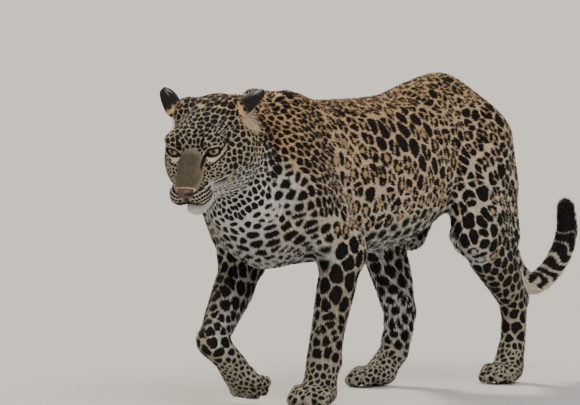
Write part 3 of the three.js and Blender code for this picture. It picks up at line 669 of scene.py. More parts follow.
# How fast a part's hold on the hair falls off, in millimetres
hairReach = {"body": 14.0, "leg": 9.0, "paw": 6.0, "tail": 6.0}
limbWidths = {"leg": 38, "tail": 28}


def flowOf(p, n):
    # a sum of the parts' directions, each times exp(-distance / reach), laid flat on the surface
    q = toLocal(headFrame, p)
    ahead, left, up = headFrame["axes"].T
    outward = np.sign(p[:, 1:2]) * np.array([0, 1.0, 0])
    total = np.zeros_like(p)

    def join(d, way, reach="body"):
        total[:] += np.exp(-np.clip(d, -12, 400) / hairReach[reach])[:, None] * (way + 0 * p)

    lies = {name: np.array(way) for name, way in hairLies.items()}
    join(trunkDistance(p), lies["trunk"])
    join(limbDistance(linksOf(neckPath), p), lies["neck"])
    join(bodyForms[2]["distance"](p) - 4, lies["breast"])
    join(bodyForms[3]["distance"](p) - 8, lies["chest"] + 0.25 * outward)
    for paths in shoulderPaths.values():
        join(limbDistance(linksOf(paths["arm"]), p), lies["arm"])
        join(limbDistance(linksOf(paths["blade"]), p), lies["blade"])
    for paths in haunchPaths.values():
        join(limbDistance(linksOf(paths["thigh"]), p), lies["thigh"])
        join(limbDistance(linksOf(paths["ham"]), p), lies["ham"])
    for name, shape in legShapes.items():
        for link in linksOf(shape["path"]):
            join(awayFromLink(link, p) - limbWidths["leg"], link[3] + lies["shin"], "leg")
        own = pawFrames[name]
        join(pawForm(own)["distance"](p), own["axes"][:, 0], "paw")
    for link in linksOf(tailRows):
        join(awayFromLink(link, p) - limbWidths["tail"], link[3], "tail")
    cheek = smooth(-q[:, 2], -10, 60)[:, None]
    join(headDistance(p), (-ahead - 0.45 * cheek * up + 0.3 * np.sign(q[:, 1:2]) * left) * 1.5)
    flow = unit(total)
    return unit(flow - n * (flow * n).sum(1, keepdims=True))


print("coat: lie of the hair")
skinNormals, skinAreas = normalsOf(skinPoints, skinTris)
skinFlow = flowOf(skinPoints, skinNormals)

# Markings. Each kind has the mean distance between its marks, the pale gap between two of them, how long
# they are for their width along the hair, the tawny hole in the middle, and how soft their edges are
markKinds = {
    "flank": {"apart": 41, "gap": 4.2, "long": 1.0, "hole": 6.8, "soft": 0.7},
    "haunch": {"apart": 33, "gap": 3.0, "long": 1.1, "hole": 4.2, "soft": 0.7},
    "spine": {"apart": 29, "gap": 2.2, "long": 1.5, "hole": 3.0, "soft": 0.7},
    "shoulder": {"apart": 20, "gap": 2.4, "long": 1.7, "hole": 0, "soft": 0.7},
    "neck": {"apart": 17.5, "gap": 3.2, "long": 1.5, "hole": 0, "soft": 0.7},
    "chest": {"apart": 25, "gap": 5.4, "long": 0.7, "hole": 0, "soft": 1.3},
    "belly": {"apart": 42, "gap": 7, "long": 1.2, "hole": 0, "soft": 4.0},
    "upperLeg": {"apart": 31, "gap": 3.0, "long": 1.35, "hole": 0, "soft": 0.8},
    "lowerLeg": {"apart": 24, "gap": 4.0, "long": 1.15, "hole": 0, "soft": 0.8},
    "paw": {"apart": 13, "gap": 3.2, "long": 1.1, "hole": 0, "soft": 0.8},
    "crown": {"apart": 18, "gap": 1.1, "long": 1.35, "hole": 0, "soft": 0.6},
    "cheek": {"apart": 14.5, "gap": 2.7, "long": 1.3, "hole": 0, "soft": 0.6},
    "forehead": {"apart": 13, "gap": 1.8, "long": 1.3, "hole": 0, "soft": 0.6},
    "face": {"apart": 8.6, "gap": 1.9, "long": 1.4, "hole": 0, "soft": 0.5},
    "tail": {"apart": 33, "gap": 7, "long": 0.8, "hole": 0, "soft": 1.2},
}
kindNames = list(markKinds)


def backAndBelly(x):
    # the heights of the back and of the belly at each x
    inside = np.clip(x, trunkX[0], trunkX[-1])
    return np.interp(inside, trunkX, trunkCurves[0]), np.interp(inside, trunkX, trunkCurves[1])


def pawShare(p):
    return 1 - smooth(np.min([np.linalg.norm(p - c, axis=1) for c in pawCentres], axis=0), 50, 84)


def kindOf(p, n):
    # which kind of mark each point of the skin has, the later ones over the earlier
    x, y, z = p.T
    q = toLocal(headFrame, p)
    top = backAndBelly(x)[0]
    aboveLegs, under = 400, (n[:, 2] < -0.45) & (z > 265)
    kind = np.full(len(p), kindNames.index("flank"))

    def put(name, where):
        kind[where] = kindNames.index(name)

    put("haunch", (x > 190) & (z > aboveLegs))
    put("spine", (z > top - 52 - 0.10 * np.abs(x)) & (x > -470) & (np.abs(y) < 62))
    put("shoulder", (x < -345) & (z > aboveLegs))
    put("neck", x < -490)
    put("chest", (x < -400) & (n[:, 0] < -0.45) & (z < 520))
    put("chest", (x < -380) & (n[:, 2] < -0.35))
    put("belly", (x > -400) & (x < 240) & under)
    onLeg = z < 385 - 0.16 * np.abs(x - 330) * (x > 0) - 45 * (x < 0)
    put("upperLeg", onLeg & (np.abs(y) > 40) & ~under)
    put("lowerLeg", z < 205)
    put("paw", pawShare(p) > 0.5)
    own = (q[:, 0] > -140) & (np.linalg.norm(q, axis=1) < 195)
    side = np.abs(q[:, 1])
    put("crown", own)
    put("cheek", own & (q[:, 2] < 12) & (q[:, 0] > -100))
    put("forehead", own & (q[:, 0] > -62) & (q[:, 2] > 4))
    put("face", own & (q[:, 0] > 2) & (q[:, 2] < -10) & (side < 56))
    put("tail", zonesOf(p)["tail"] > 0.5)
    return kind


def nearestSeeds(points, seeds, count, reach=90):
    # the few nearest seeds to each point, in slabs along x that only look at the seeds near them
    found = np.zeros((len(points), count), int)
    order = np.argsort(points[:, 0])
    slabSize = 1500
    for start in range(0, len(points), slabSize):
        chosen = order[start:start + slabSize]
        slab = points[chosen]
        low, high = slab.min(0) - reach, slab.max(0) + reach
        close = np.flatnonzero(np.all((seeds > low) & (seeds < high), axis=1))
        near = seeds[close]
        far = (near**2).sum(1) - 2 * (slab @ near.T)
        if count == 1:
            best = np.argmin(far, axis=1)[:, None]
        else:
            best = np.argpartition(far, count - 1, axis=1)[:, :count]
        found[chosen] = close[best]
    return found


def measured(marks, p, near):
    # how far points are from marks near them, along the hair, across it and in all, by each one's stretch
    d = p[:, None] - marks["at"][near]
    a = (d * marks["along"][near]).sum(2) / marks["stretch"][near]
    b = (d * marks["across"][near]).sum(2) * marks["stretch"][near]
    c = (d * marks["normal"][near]).sum(2)
    return a, b, np.sqrt(a * a + b * b + c * c)


def spreadMarks(points, normals, flow, areas, apart, stretch, rounds):
    # marks spread evenly over the skin: drawn by area, then each moved to the middle of what is nearest to it
    closeness = 1.16  # evenly spread marks for each square as wide as their distance
    load = np.cumsum(areas / apart**2 * closeness)
    chosen = np.searchsorted(load, np.arange(0.5, load[-1]))
    weight = areas / apart**4
    light = points.astype(np.float32)
    for i in range(rounds + 1):
        marks = {"at": light[chosen], "chosen": chosen, "normal": normals[chosen].astype(np.float32),
                 "along": flow[chosen].astype(np.float32), "stretch": stretch[chosen].astype(np.float32)}
        marks["across"] = np.cross(marks["normal"], marks["along"])
        if i == rounds:
            return marks
        near = nearestSeeds(light, marks["at"], 4)
        far = measured(marks, light, near)[2]
        own = near[np.arange(len(near)), np.argmin(far, axis=1)]
        heap = np.maximum(np.bincount(own, weight, len(chosen)), 1e-12)
        sums = [np.bincount(own, weight * points[:, k], len(chosen)) for k in range(3)]
        middle = np.stack([one / heap for one in sums], 1)
        order = np.lexsort((np.linalg.norm(points - middle[own], axis=1), own))
        chosen = order[np.unique(own[order], return_index=True)[1]]


def wavy(p, size, length):
    # points shifted by sines of their own places, so that no mark is quite round
    turns = np.array([[1, 2, 3], [3, -1, 2], [2, 3, -1]]) / 3.7 / length
    return p + size * (np.sin(p @ turns.T) + 0.6 * np.sin(2.3 * p @ turns[::-1].T + 1.7))


notches = 4  # the most that a ring has, and each has a turn round the ring and half a width
noNotch = -50


def drawMarks(points, normals, flow, areas):
    # the middles of all marks, and for each its gap, largest radius, hole, rounding, softness and notches
    kind = kindOf(points, normals)
    values = {}
    for key in markKinds["flank"]:
        values[key] = np.array([markKinds[name][key] for name in kindNames], float)
    apart, stretch = values["apart"][kind], np.sqrt(values["long"][kind])
    marks = spreadMarks(points, normals, flow, areas, apart, stretch, 8)
    own = kind[marks["chosen"]]
    many = len(own)
    apart, hole = values["apart"][own], values["hole"][own]
    slide = rng.normal(0, 0.05, (2, many, 1)) * apart[:, None]
    marks["at"] = (marks["at"] + slide[0] * marks["along"] + slide[1] * marks["across"]).astype(np.float32)
    marks["gap"] = values["gap"][own] / 2 * rng.uniform(0.78, 1.3, many)
    marks["most"] = 0.63 * apart * rng.uniform(0.85, 1.2, many)
    marks["hole"] = hole * rng.uniform(0.6, 1.25, many) * (rng.uniform(0, 1, many) < 0.85)
    marks["round"] = 0.22 * apart
    marks["soft"] = values["soft"][own]
    number = rng.integers(2, notches + 1, many)[:, None]
    place = np.arange(notches)[None, :]
    first = rng.uniform(0, 2 * np.pi, (many, 1))
    marks["turn"] = first + (place + rng.uniform(-0.25, 0.25, (many, notches))) * 2 * np.pi / number
    opened = (place < number) & (marks["hole"][:, None] > 0)
    marks["slit"] = np.where(opened, rng.uniform(0.2, 1.9, (many, notches)), noNotch)
    return marks


def marksAt(marks, p, n):
    # the distance to the edge of a mark, the share of its tawny middle, and how soft its edge is: a mark
    # fills the places nearest to it but for the gap to the next, a hole in its middle and a few notches
    p = wavy(wavy(p, 1.3, 11.0), 0.7, 4.0).astype(np.float32)
    near = nearestSeeds(p, marks["at"], 6)
    a, b, far = measured(marks, p, near)
    far = far + 60 * ((n[:, None] * marks["normal"][near]).sum(2) < -0.2)  # not through a thin part
    rows = np.arange(len(p))
    first = np.argmin(far, axis=1)
    own, r = near[rows, first], far[rows, first]
    a, b = a[rows, first], b[rows, first]
    rim = np.full(len(p), 90.0)
    for column in range(near.shape[1]):
        between = measured(marks, marks["at"][own], near[:, [column]])[2][:, 0]
        edge = (far[:, column] ** 2 - r**2) / (2 * np.maximum(between, 1e-3))
        rim = np.where(first == column, rim, melt(rim, edge, marks["round"][own]))
    edge = -melt(rim - marks["gap"][own], marks["most"][own] - r, 0.5 * marks["round"][own])
    hole = marks["hole"][own]
    cut = np.where(hole > 0, hole - r, noNotch)
    for i in range(notches):
        c, t = np.cos(marks["turn"][own, i]), np.sin(marks["turn"][own, i])
        x, y = a * c + b * t, b * c - a * t
        cut = np.maximum(cut, np.minimum(marks["slit"][own, i] + 0.05 * x - np.abs(y), x))
    edge = -melt(-edge, -cut, 3)
    fill = (hole > 0) * (1 - smooth(r, hole + 2, hole + 9))
    return edge, fill, marks["soft"][own]


print("coat: markings")
coatMarks = drawMarks(skinPoints, skinNormals, skinFlow, skinAreas)

# Ground colours of the coat, as linear red, green and blue
coatTones = {
    "gold": (0.62, 0.42, 0.22), "tan": (0.65, 0.51, 0.35), "pale": (0.68, 0.61, 0.50),
    "white": (0.64, 0.64, 0.62),
    "warm": (0.48, 0.30, 0.14), "face": (0.33, 0.275, 0.20), "bridge": (0.048, 0.036, 0.024),
    # the bright warm fringe tone below is pale hair with a painted rim light
    # the legs' darker tan below is painted shade
    "shank": (0.36, 0.31, 0.235), "glow": (0.70, 0.52, 0.33), "cream": (0.60, 0.52, 0.40),
    # the grey white for the inner legs below is white dulled by painted shade
    "foot": (0.32, 0.28, 0.22), "inner": (0.46, 0.455, 0.43), "ink": (0.012, 0.010, 0.009),
    "dusk": (0.16, 0.15, 0.14),
}
coatTones = {name: np.array(tone) for name, tone in coatTones.items()}


def tailPlace(p):
    # how far along the tail a point is, how far to its upper side, from -1 to 1, and the tail's whole length
    best, along, top = np.full(len(p), 1e9), np.zeros(len(p)), np.zeros(len(p))
    start = 0.0
    for a, _, length, way, _, deep in linksOf(tailRows):
        o = p - a[:3]
        s = np.clip(o @ way / length, 0, 1)
        away = np.linalg.norm(o - (s * length)[:, None] * way, axis=1)
        closer = away < best
        best = np.where(closer, away, best)
        along = np.where(closer, start + s * length, along)
        top = np.where(closer, (o @ deep) / np.maximum(away, 1), top)
        start += length
    return along, top, start


# dark hair round the eye, as paths of across, rise and half width before the eye
faceStreaks = {
    "tear": [(-13, -3, 3.2), (-19, -9, 4.0), (-24, -17, 2.8), (-26, -26, 0.8)],
    "overCorner": [(-21, 9, 1.8), (-19, 19, 2.8), (-15, 30, 1.8)],
    "outerCorner": [(13, 2, 1.8), (23, 6, 2.0), (35, 9, 1.2)],
    "underLid": [(-19, -23, 0.8), (0, -19.5, 1.2), (17, -14, 1.4), (28, -1, 1.1)],
}


def streakDistance(path, e):
    # the least distance to any stretch of a flat path, less its half width there
    path = np.array(path, float)
    least = np.full(len(e), 60.0)
    for a, b in zip(path[:-1], path[1:]):
        along = b[:2] - a[:2]
        share = np.clip(((e[:, :2] - a[:2]) @ along) / (along @ along), 0, 1)
        away = np.linalg.norm(e[:, :2] - a[:2] - share[:, None] * along, axis=1)
        least = np.minimum(least, away - a[2] - (b[2] - a[2]) * share)
    return least


whiskerRows = {"rows": 4, "spots": 8, "first": 15.5, "step": 7.4, "top": -50.5, "drop": 6.6, "size": 2.5}


def whiskerPlace(row, spot):
    # how far round the muzzle from the nose, and how high, a whisker spot stands
    look = whiskerRows
    far = look["first"] + look["step"] * (spot + 0.5 * (row % 2))
    return far, look["top"] - look["drop"] * row + 0.2 * min(far - look["first"], 25)


inkLook = {
    # the darkening of the upper lip's down-facing underside is partly painted shade
    "lid": 2.6, "upperLid": 1.5, "lip": 2.4, "shadedUnderLip": 14, "cleft": 1.8, "corner": 9,
    "mouthCorner": {"at": (30, 49, -68), "radii": (15, 15, 9)},
}
farOff = 60  # a distance at which ink has no effect


def faceInk(half, e, almond, down, onFace):
    # the distance to the dark skin of the lids and lips, to the streaks by the eyes and to the whisker rows
    look = inkLook
    f, side, u = half.T

    def only(where, distance):
        return np.where(where, distance, farOff)

    ink = almond - look["lid"] - look["upperLid"] * (e[:, 1] > 0)
    before = onFace & (e[:, 2] > -26)
    for path in faceStreaks.values():
        ink = np.minimum(ink, only(before, streakDistance(path, e)))
    lip = only(onFace & (f > 16), mouthLine["distance"](half))
    cleft = only(onFace & (f > 60), lipCleft["distance"](half))
    corner = (ovalShare(half, look["mouthCorner"]) - 1) * look["corner"]
    # the lips are dark at the cut, and the whole underside of the upper one is darkened where it faces down:
    # black lip skin, and painted shade under the overhang
    lip = lip - look["lip"] - look["shadedUnderLip"] * smooth(down, 0.0, 0.4)
    ink = np.minimum(ink, np.minimum(lip, cleft - look["cleft"]))
    ink = np.minimum(ink, only(onFace, corner))
    far = side + 0.9 * (95 - f)
    for row in range(whiskerRows["rows"]):
        for spot in range(whiskerRows["spots"]):
            across, rise = whiskerPlace(row, spot)
            near = np.hypot((far - across) / (1.35 + 0.1 * spot), u - rise) - whiskerRows["size"]
            ink = np.minimum(ink, only(onFace & (side > 9) & (f > 24), near))
    return ink


# Where each ground tone lies: spans of a place or of a turn over which it comes in, and its strength
bodyGround = {
    "gold": (0.55, 1.0), "pale": (0.15, 0.6), "paleShare": 0.9, "shadedLegShare": 0.85, "tawnyShare": 0.75,
    "innerTurn": (0.15, 0.7), "innerTop": (350, 430), "innerLegShadeShare": 0.85,
    "underTurn": (0.4, 0.85), "underFrom": 240, "underTo": 300,
    "chestTurn": (0.45, 0.9), "chestBack": -430, "chestRise": (270, 350), "chestTop": (430, 540),
    "chestShare": 0.7,
    "footShare": 0.9,
}
headGround = {
    "face": 0.9, "head": 0.45, "throatTop": (-92, -70), "throatBack": (30, 90),
    "jowlTop": (-74, -46), "jowlBack": (-25, 50), "jowlShare": 0.6,
    "fringe": {"at": (-92, 80, 22), "radii": (22, 14, 30)}, "fringeEdge": (0.7, 1.15),
    "muzzleFrom": (30, 50), "muzzleTop": (-52, -42), "muzzleShare": 0.5, "chin": (84, 92), "chinShare": 0.8,
    "bridgeHalf": (15, 33), "bridgeFrom": (10, 42), "bridgeLow": (-50, -40), "grizzle": (0.86, 0.12),
    "noseRim": (0.02, 0.10), "noseRimAt": 1.08, "noseRimShare": 0.8, "noseTop": -46,
    "underEye": 6.2, "underEyeEdge": (1.5, 4), "underEyeShare": 0.85,
    "overEye": (1, 15), "overEyeHalf": (15, 5.5), "overEyeEdge": (0.7, 1.2), "overEyeShare": 0.75,
    "plainMuzzle": 14, "plainLids": 6, "plainFringe": 12, "soft": 0.45,
}
noseCover = {"at": (90, 0, -46), "radii": (18.5, 18.5, 12.5)}
tailGround = {
    "bandsFrom": (330, 400), "palePart": (-0.5, 0.3), "paleShare": 0.85, "duskPart": (-0.2, 0.4),
    "duskShare": 0.35,
    "apart": 31, "start": 340, "sway": 9, "swayLength": 23, "darkTip": 46, "underside": (-0.62, -0.2),
    "half": (7.0, 9.5, 13.4), "halfAt": (190, 60),  # half width of the dark bands, and how far from the tip
}


def layBody(lay, p, n, zone, fill):
    # gold on the back, paler down the sides, white below, tawny inside the rings, and painted shade on the
    # legs: a darker tan outside and a white dulled to grey inside them
    look = bodyGround
    x, y, z = p.T
    top, low = backAndBelly(x)
    rise = (z - low) / (top - low)
    lay("gold", smooth(rise, *look["gold"]))
    lay("pale", look["paleShare"] * (1 - smooth(rise, *look["pale"])))
    # painted shade: the legs' tan is darkened
    lay("shank", look["shadedLegShare"] * zone["leg"])
    lay("warm", fill * look["tawnyShare"])
    inner = smooth(-np.sign(y) * n[:, 1], *look["innerTurn"]) * (1 - smooth(z, *look["innerTop"]))
    # painted shade: the white inside the legs is dulled to grey
    lay("inner", look["innerLegShadeShare"] * inner)
    lay("white", zone["belly"])
    lay("white", smooth(-n[:, 2], *look["underTurn"]) * (z > look["underFrom"]) * (x < look["underTo"]))
    chest = smooth(z, *look["chestRise"]) * (1 - smooth(z, *look["chestTop"]))
    chest = chest * smooth(-n[:, 0], *look["chestTurn"]) * (x < look["chestBack"])
    lay("white", look["chestShare"] * chest)
    lay("foot", look["footShare"] * zone["paw"])


def layHead(lay, p, n, zone, edge, soft):
    # white throat and chin, cream muzzle, dark grizzled bridge, cream over and under the eyes, and the ink
    look = headGround
    half = onOneSide(toLocal(headFrame, p))
    f, side, u = half.T
    own, face = zone["head"], zone["face"]
    lay("face", look["face"] * face + look["head"] * own)
    lay("white", own * (1 - smooth(u, *look["throatTop"])) * (1 - smooth(-f, *look["throatBack"])))
    jowl = (1 - smooth(u, *look["jowlTop"])) * smooth(-f, *look["jowlBack"])
    lay("white", look["jowlShare"] * own * jowl)
    fringe = own * (1 - smooth(ovalShare(half, look["fringe"]), *look["fringeEdge"]))
    # pale hair below the ear, brightened and warmed as a painted rim light
    lay("glow", fringe)
    onFace = face > 0.02
    muzzle = smooth(f, *look["muzzleFrom"]) * (1 - smooth(u, *look["muzzleTop"])) * face
    lay("cream", look["muzzleShare"] * muzzle)
    lay("white", look["chinShare"] * face * smooth(-u, *look["chin"]))
    bridge = (1 - smooth(side, *look["bridgeHalf"])) * smooth(f, *look["bridgeFrom"])
    bridge = bridge * smooth(u, *look["bridgeLow"]) * face
    tick = np.sin(f * 1.9 + 2 * np.sin(side * 0.8)) * np.sin(side * 1.7 + 1.6 * np.sin(f * 0.7))
    lay("bridge", (look["grizzle"][0] + look["grizzle"][1] * tick) * bridge)
    rim = 1 - smooth(np.abs(ovalShare(half, noseCover) - look["noseRimAt"]), *look["noseRim"])
    lay("tan", look["noseRimShare"] * face * rim * (u > look["noseTop"]))
    e = beforeEye(half)
    front = onFace & (e[:, 2] > -6)
    almond = np.where(front, almondDistance(e[:, 0], e[:, 1]), farOff)
    under = 1 - smooth(np.abs(almond - look["underEye"]), *look["underEyeEdge"])
    lay("cream", look["underEyeShare"] * under * (e[:, 1] < -2) * front)
    brow = np.linalg.norm((e[:, :2] - look["overEye"]) / look["overEyeHalf"], axis=1)
    lay("cream", look["overEyeShare"] * (1 - smooth(brow, *look["overEyeEdge"])) * front)
    # no spots on the muzzle, the bridge, the lids and the fringe
    edge = edge + look["plainMuzzle"] * np.maximum(smooth(bridge, 0.35, 0.8), muzzle)
    edge = edge + look["plainLids"] * (1 - smooth(almond, 5, 10)) * onFace + look["plainFringe"] * fringe
    ink = faceInk(half, e, almond, -(n @ headFrame["axes"])[:, 2], onFace)
    return np.minimum(ink, edge), np.where(onFace, look["soft"], soft)


def layTail(lay, p, zone, edge):
    # pale below, blotches at first, then dark bands with thin pale rings, and a dark tip
    look = tailGround
    along, dorsal, whole = tailPlace(p)
    late = zone["tail"] * smooth(along, *look["bandsFrom"])
    lay("pale", look["paleShare"] * zone["tail"] * (1 - smooth(dorsal, *look["palePart"])))
    lay("dusk", look["duskShare"] * late * smooth(dorsal, *look["duskPart"]))
    swayed = along + look["sway"] * np.sin(along / look["swayLength"] + 3 * dorsal) - look["start"]
    wave = np.abs(swayed % look["apart"] - look["apart"] / 2)
    places = [look["bandsFrom"][0], whole - look["halfAt"][0], whole - look["halfAt"][1]]
    wave = wave - np.interp(along, places, look["half"])
    band = np.where(along > whole - look["darkTip"], -8, wave)
    band = band + 16 * (1 - smooth(dorsal, *look["underside"]))
    return np.where(late > 0.5, band, edge)


def paintAt(p, n):
    # the coat's ground tone at any points of the skin, the distance to the edge of a mark, and its softness
    zone = zonesOf(p)
    edge, fill, soft = marksAt(coatMarks, p, n)
    tone = np.zeros((len(p), 3)) + coatTones["tan"]

    def lay(name, share):
        tone[:] += (coatTones[name] - tone) * np.clip(share, 0, 1)[:, None]

    layBody(lay, p, n, zone, fill)
    edge, soft = layHead(lay, p, n, zone, edge, soft)
    return tone, layTail(lay, p, zone, edge), soft


skinPaint = dict(zip(("groundTone", "spotEdge", "spotSoft"), paintAt(skinPoints, skinNormals)))
print("coat: painted")

# Materials


def attributeNode(nodes, name):
    node = nodes.new("ShaderNodeAttribute")
    node.attribute_name = name
    return node


def mathNode(nodes, links, kind, *values, clamp=False):
    node = nodes.new("ShaderNodeMath")
    node.operation = kind
    node.use_clamp = clamp
    for socket, value in zip(node.inputs, values):
        if isinstance(value, bpy.types.NodeSocket):
            links.new(value, socket)
        else:
            socket.default_value = value
    return node.outputs[0]


def noiseNode(nodes, links, where, scale, detail=3.0, roughness=0.5):
    node = nodes.new("ShaderNodeTexNoise")
    node.inputs["Scale"].default_value = scale
    node.inputs["Detail"].default_value = detail
    node.inputs["Roughness"].default_value = roughness
    links.new(where, node.inputs["Vector"])
    return node.outputs["Fac"]


def mixNode(nodes, links, factor, a, b, kind="MIX"):
    node = nodes.new("ShaderNodeMix")
    node.data_type = "RGBA"
    node.blend_type = kind
    for socket, value in ((node.inputs[0], factor), (node.inputs[6], a), (node.inputs[7], b)):
        if isinstance(value, bpy.types.NodeSocket):
            links.new(value, socket)
        else:
            socket.default_value = value
    return node.outputs[2]


def bareMaterial(name, roughness, specular=0.5):
    material = bpy.data.materials.new(name)
    material.use_nodes = True
    shader = material.node_tree.nodes["Principled BSDF"]
    shader.inputs["Roughness"].default_value = roughness
    shader.inputs["Specular IOR Level"].default_value = specular
    return material, material.node_tree.nodes, material.node_tree.links, shader


coatLook = {
    "wobble": 2.6, "hairWobble": 0.8, "wobbleScale": 260, "mottle": 0.22, "bump": 0.35, "sheen": 0.04,
    "inkTone": (0.009, 0.007, 0.006, 1),
}


def coatMaterial(name, look, wobble, bump):
    # ground tone from the skin, marks where the distance to a mark's edge falls below zero
    material, nodes, links, shader = bareMaterial(name, 0.78, 0.12)
    shader.inputs["Sheen Weight"].default_value = look["sheen"]
    shader.inputs["Sheen Roughness"].default_value = 0.4
    where = nodes.new("ShaderNodeTexCoord").outputs["Object"]
    edge = attributeNode(nodes, "spotEdge").outputs["Fac"]
    soft = attributeNode(nodes, "spotSoft").outputs["Fac"]
    ground = attributeNode(nodes, "groundTone").outputs["Color"]
    ragged = noiseNode(nodes, links, where, look["wobbleScale"], 3, 0.6)
    ragged = mathNode(nodes, links, "SUBTRACT", ragged, 0.5)
    ragged = mathNode(nodes, links, "MULTIPLY", ragged, wobble)
    shifted = mathNode(nodes, links, "ADD", edge, ragged)
    share = mathNode(nodes, links, "DIVIDE", shifted, soft)
    share = mathNode(nodes, links, "MULTIPLY", share, -0.5)
    share = mathNode(nodes, links, "ADD", share, 0.5, clamp=True)
    patchy = mathNode(nodes, links, "SUBTRACT", noiseNode(nodes, links, where, 38, 4, 0.6), 0.5)
    patchy = mathNode(nodes, links, "MULTIPLY", patchy, look["mottle"] * 2)
    fine = mathNode(nodes, links, "SUBTRACT", noiseNode(nodes, links, where, 900, 2, 0.6), 0.5)
    fine = mathNode(nodes, links, "MULTIPLY", fine, look["mottle"] * 1.6)
    level = mathNode(nodes, links, "ADD", mathNode(nodes, links, "ADD", patchy, fine), 1.0)
    scaled = nodes.new("ShaderNodeVectorMath")
    scaled.operation = "SCALE"
    links.new(ground, scaled.inputs[0])
    links.new(level, scaled.inputs["Scale"])
    colour = mixNode(nodes, links, share, scaled.outputs[0], look["inkTone"])
    links.new(colour, shader.inputs["Base Color"])
    if bump:
        height = noiseNode(nodes, links, where, 700, 3, 0.6)
        node = nodes.new("ShaderNodeBump")
        node.inputs["Strength"].default_value = bump
        node.inputs["Distance"].default_value = 0.0012
        links.new(height, node.inputs["Height"])
        links.new(node.outputs[0], shader.inputs["Normal"])
    return material


skinMaterial = coatMaterial("spottedSkin", coatLook, coatLook["wobble"], coatLook["bump"])
hairMaterial = coatMaterial("spottedHair", coatLook, coatLook["hairWobble"], 0)

# Meshes: points in millimetres in the body's frame, put in metres with the origin on the floor
bodyShift = np.array([0.103, -0.491, 0.0])


def makePiece(name, points, faces, material, attributes=None):
    # one smooth mesh that rides on the model, and each attribute is a number or a colour per point
    mesh = bpy.data.meshes.new(name)
    sides = faces.shape[1]
    mesh.vertices.add(len(points))
    mesh.vertices.foreach_set("co", ((points + bodyShift) / 1000).astype(np.float32).ravel())
    mesh.loops.add(faces.size)
    mesh.loops.foreach_set("vertex_index", faces.astype(np.int32).ravel())
    mesh.polygons.add(len(faces))
    mesh.polygons.foreach_set("loop_start", (np.arange(len(faces)) * sides).astype(np.int32))
    mesh.polygons.foreach_set("use_smooth", np.ones(len(faces), bool))
    for key, value in (attributes or {}).items():
        value = np.asarray(value, np.float32)
        if value.ndim == 1:
            mesh.attributes.new(key, "FLOAT", "POINT").data.foreach_set("value", value)
        else:
            rgba = np.hstack([value, np.ones((len(value), 1), np.float32)])
            mesh.attributes.new(key, "FLOAT_COLOR", "POINT").data.foreach_set("color", rgba.ravel())
    mesh.update()
    mesh.validate()
    mesh.materials.append(material)
    piece = bpy.data.objects.new(name, mesh)
    bpy.context.scene.collection.objects.link(piece)
    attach(piece, "root")
    return piece


skin = makePiece("skin", skinPoints, skinTris, skinMaterial, skinPaint)
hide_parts("torso", "neck", "head", "foreleg_left", "foreleg_right", "forepaw_left",
            "forepaw_right", "hindleg_left", "hindleg_right", "hindpaw_left", "hindpaw_right",
            "tail_root", "tail_middle", "tail_end")
print("skin: made")

# Grids: faces over rows and columns of points


def gridFaces(rows, columns, closed):
    # four-sided faces between each row and the next, joined round the columns if closed
    across = columns if closed else columns - 1
    i, j = np.meshgrid(np.arange(rows - 1), np.arange(across), indexing="ij")
    k = (j + 1) % columns
    here, there = i * columns, (i + 1) * columns
    return np.stack([here + j, here + k, there + k, there + j], -1).reshape(-1, 4)


# Eyes: a globe about the gaze with a raised cornea, its iris drawn by the angle from the gaze
eyeLook = {"cornea": 0.9, "irisAngle": 36, "pupilAngle": 12}


def eyeMaterial(look):
    material, nodes, links, shader = bareMaterial("wetEye", 0.1, 0.12)
    shader.inputs["Coat Weight"].default_value = 0.35
    shader.inputs["Coat Roughness"].default_value = 0.02
    angle = attributeNode(nodes, "fromGaze").outputs["Fac"]
    ramp = nodes.new("ShaderNodeValToRGB")
    pupil, iris = look["pupilAngle"] / 90, look["irisAngle"] / 90
    stops = [
        (0, (0.004, 0.004, 0.004)), (pupil - 0.006, (0.004, 0.004, 0.004)),
        (pupil + 0.012, (0.17, 0.12, 0.04)), (pupil + 0.05, (0.33, 0.27, 0.11)),
        (iris * 0.8, (0.38, 0.34, 0.17)), (iris - 0.02, (0.16, 0.14, 0.07)),
        (iris + 0.015, (0.012, 0.009, 0.007)), (1, (0.02, 0.014, 0.012)),
    ]
    while len(ramp.color_ramp.elements) < len(stops):
        ramp.color_ramp.elements.new(1)
    for element, (place, tone) in zip(ramp.color_ramp.elements, stops):
        element.position = place
        element.color = (*tone, 1)
    links.new(mathNode(nodes, links, "DIVIDE", angle, 90.0), ramp.inputs[0])
    wrap = attributeNode(nodes, "irisRays").outputs["Vector"]
    rays = noiseNode(nodes, links, wrap, 1.0, 3, 0.6)
    level = mathNode(nodes, links, "ADD", mathNode(nodes, links, "MULTIPLY", rays, 0.9), 0.55)
    scaled = nodes.new("ShaderNodeVectorMath")
    scaled.operation = "SCALE"
    links.new(ramp.outputs[0], scaled.inputs[0])
    links.new(level, scaled.inputs["Scale"])
    links.new(scaled.outputs[0], shader.inputs["Base Color"])
    return material


wetEye = eyeMaterial(eyeLook)


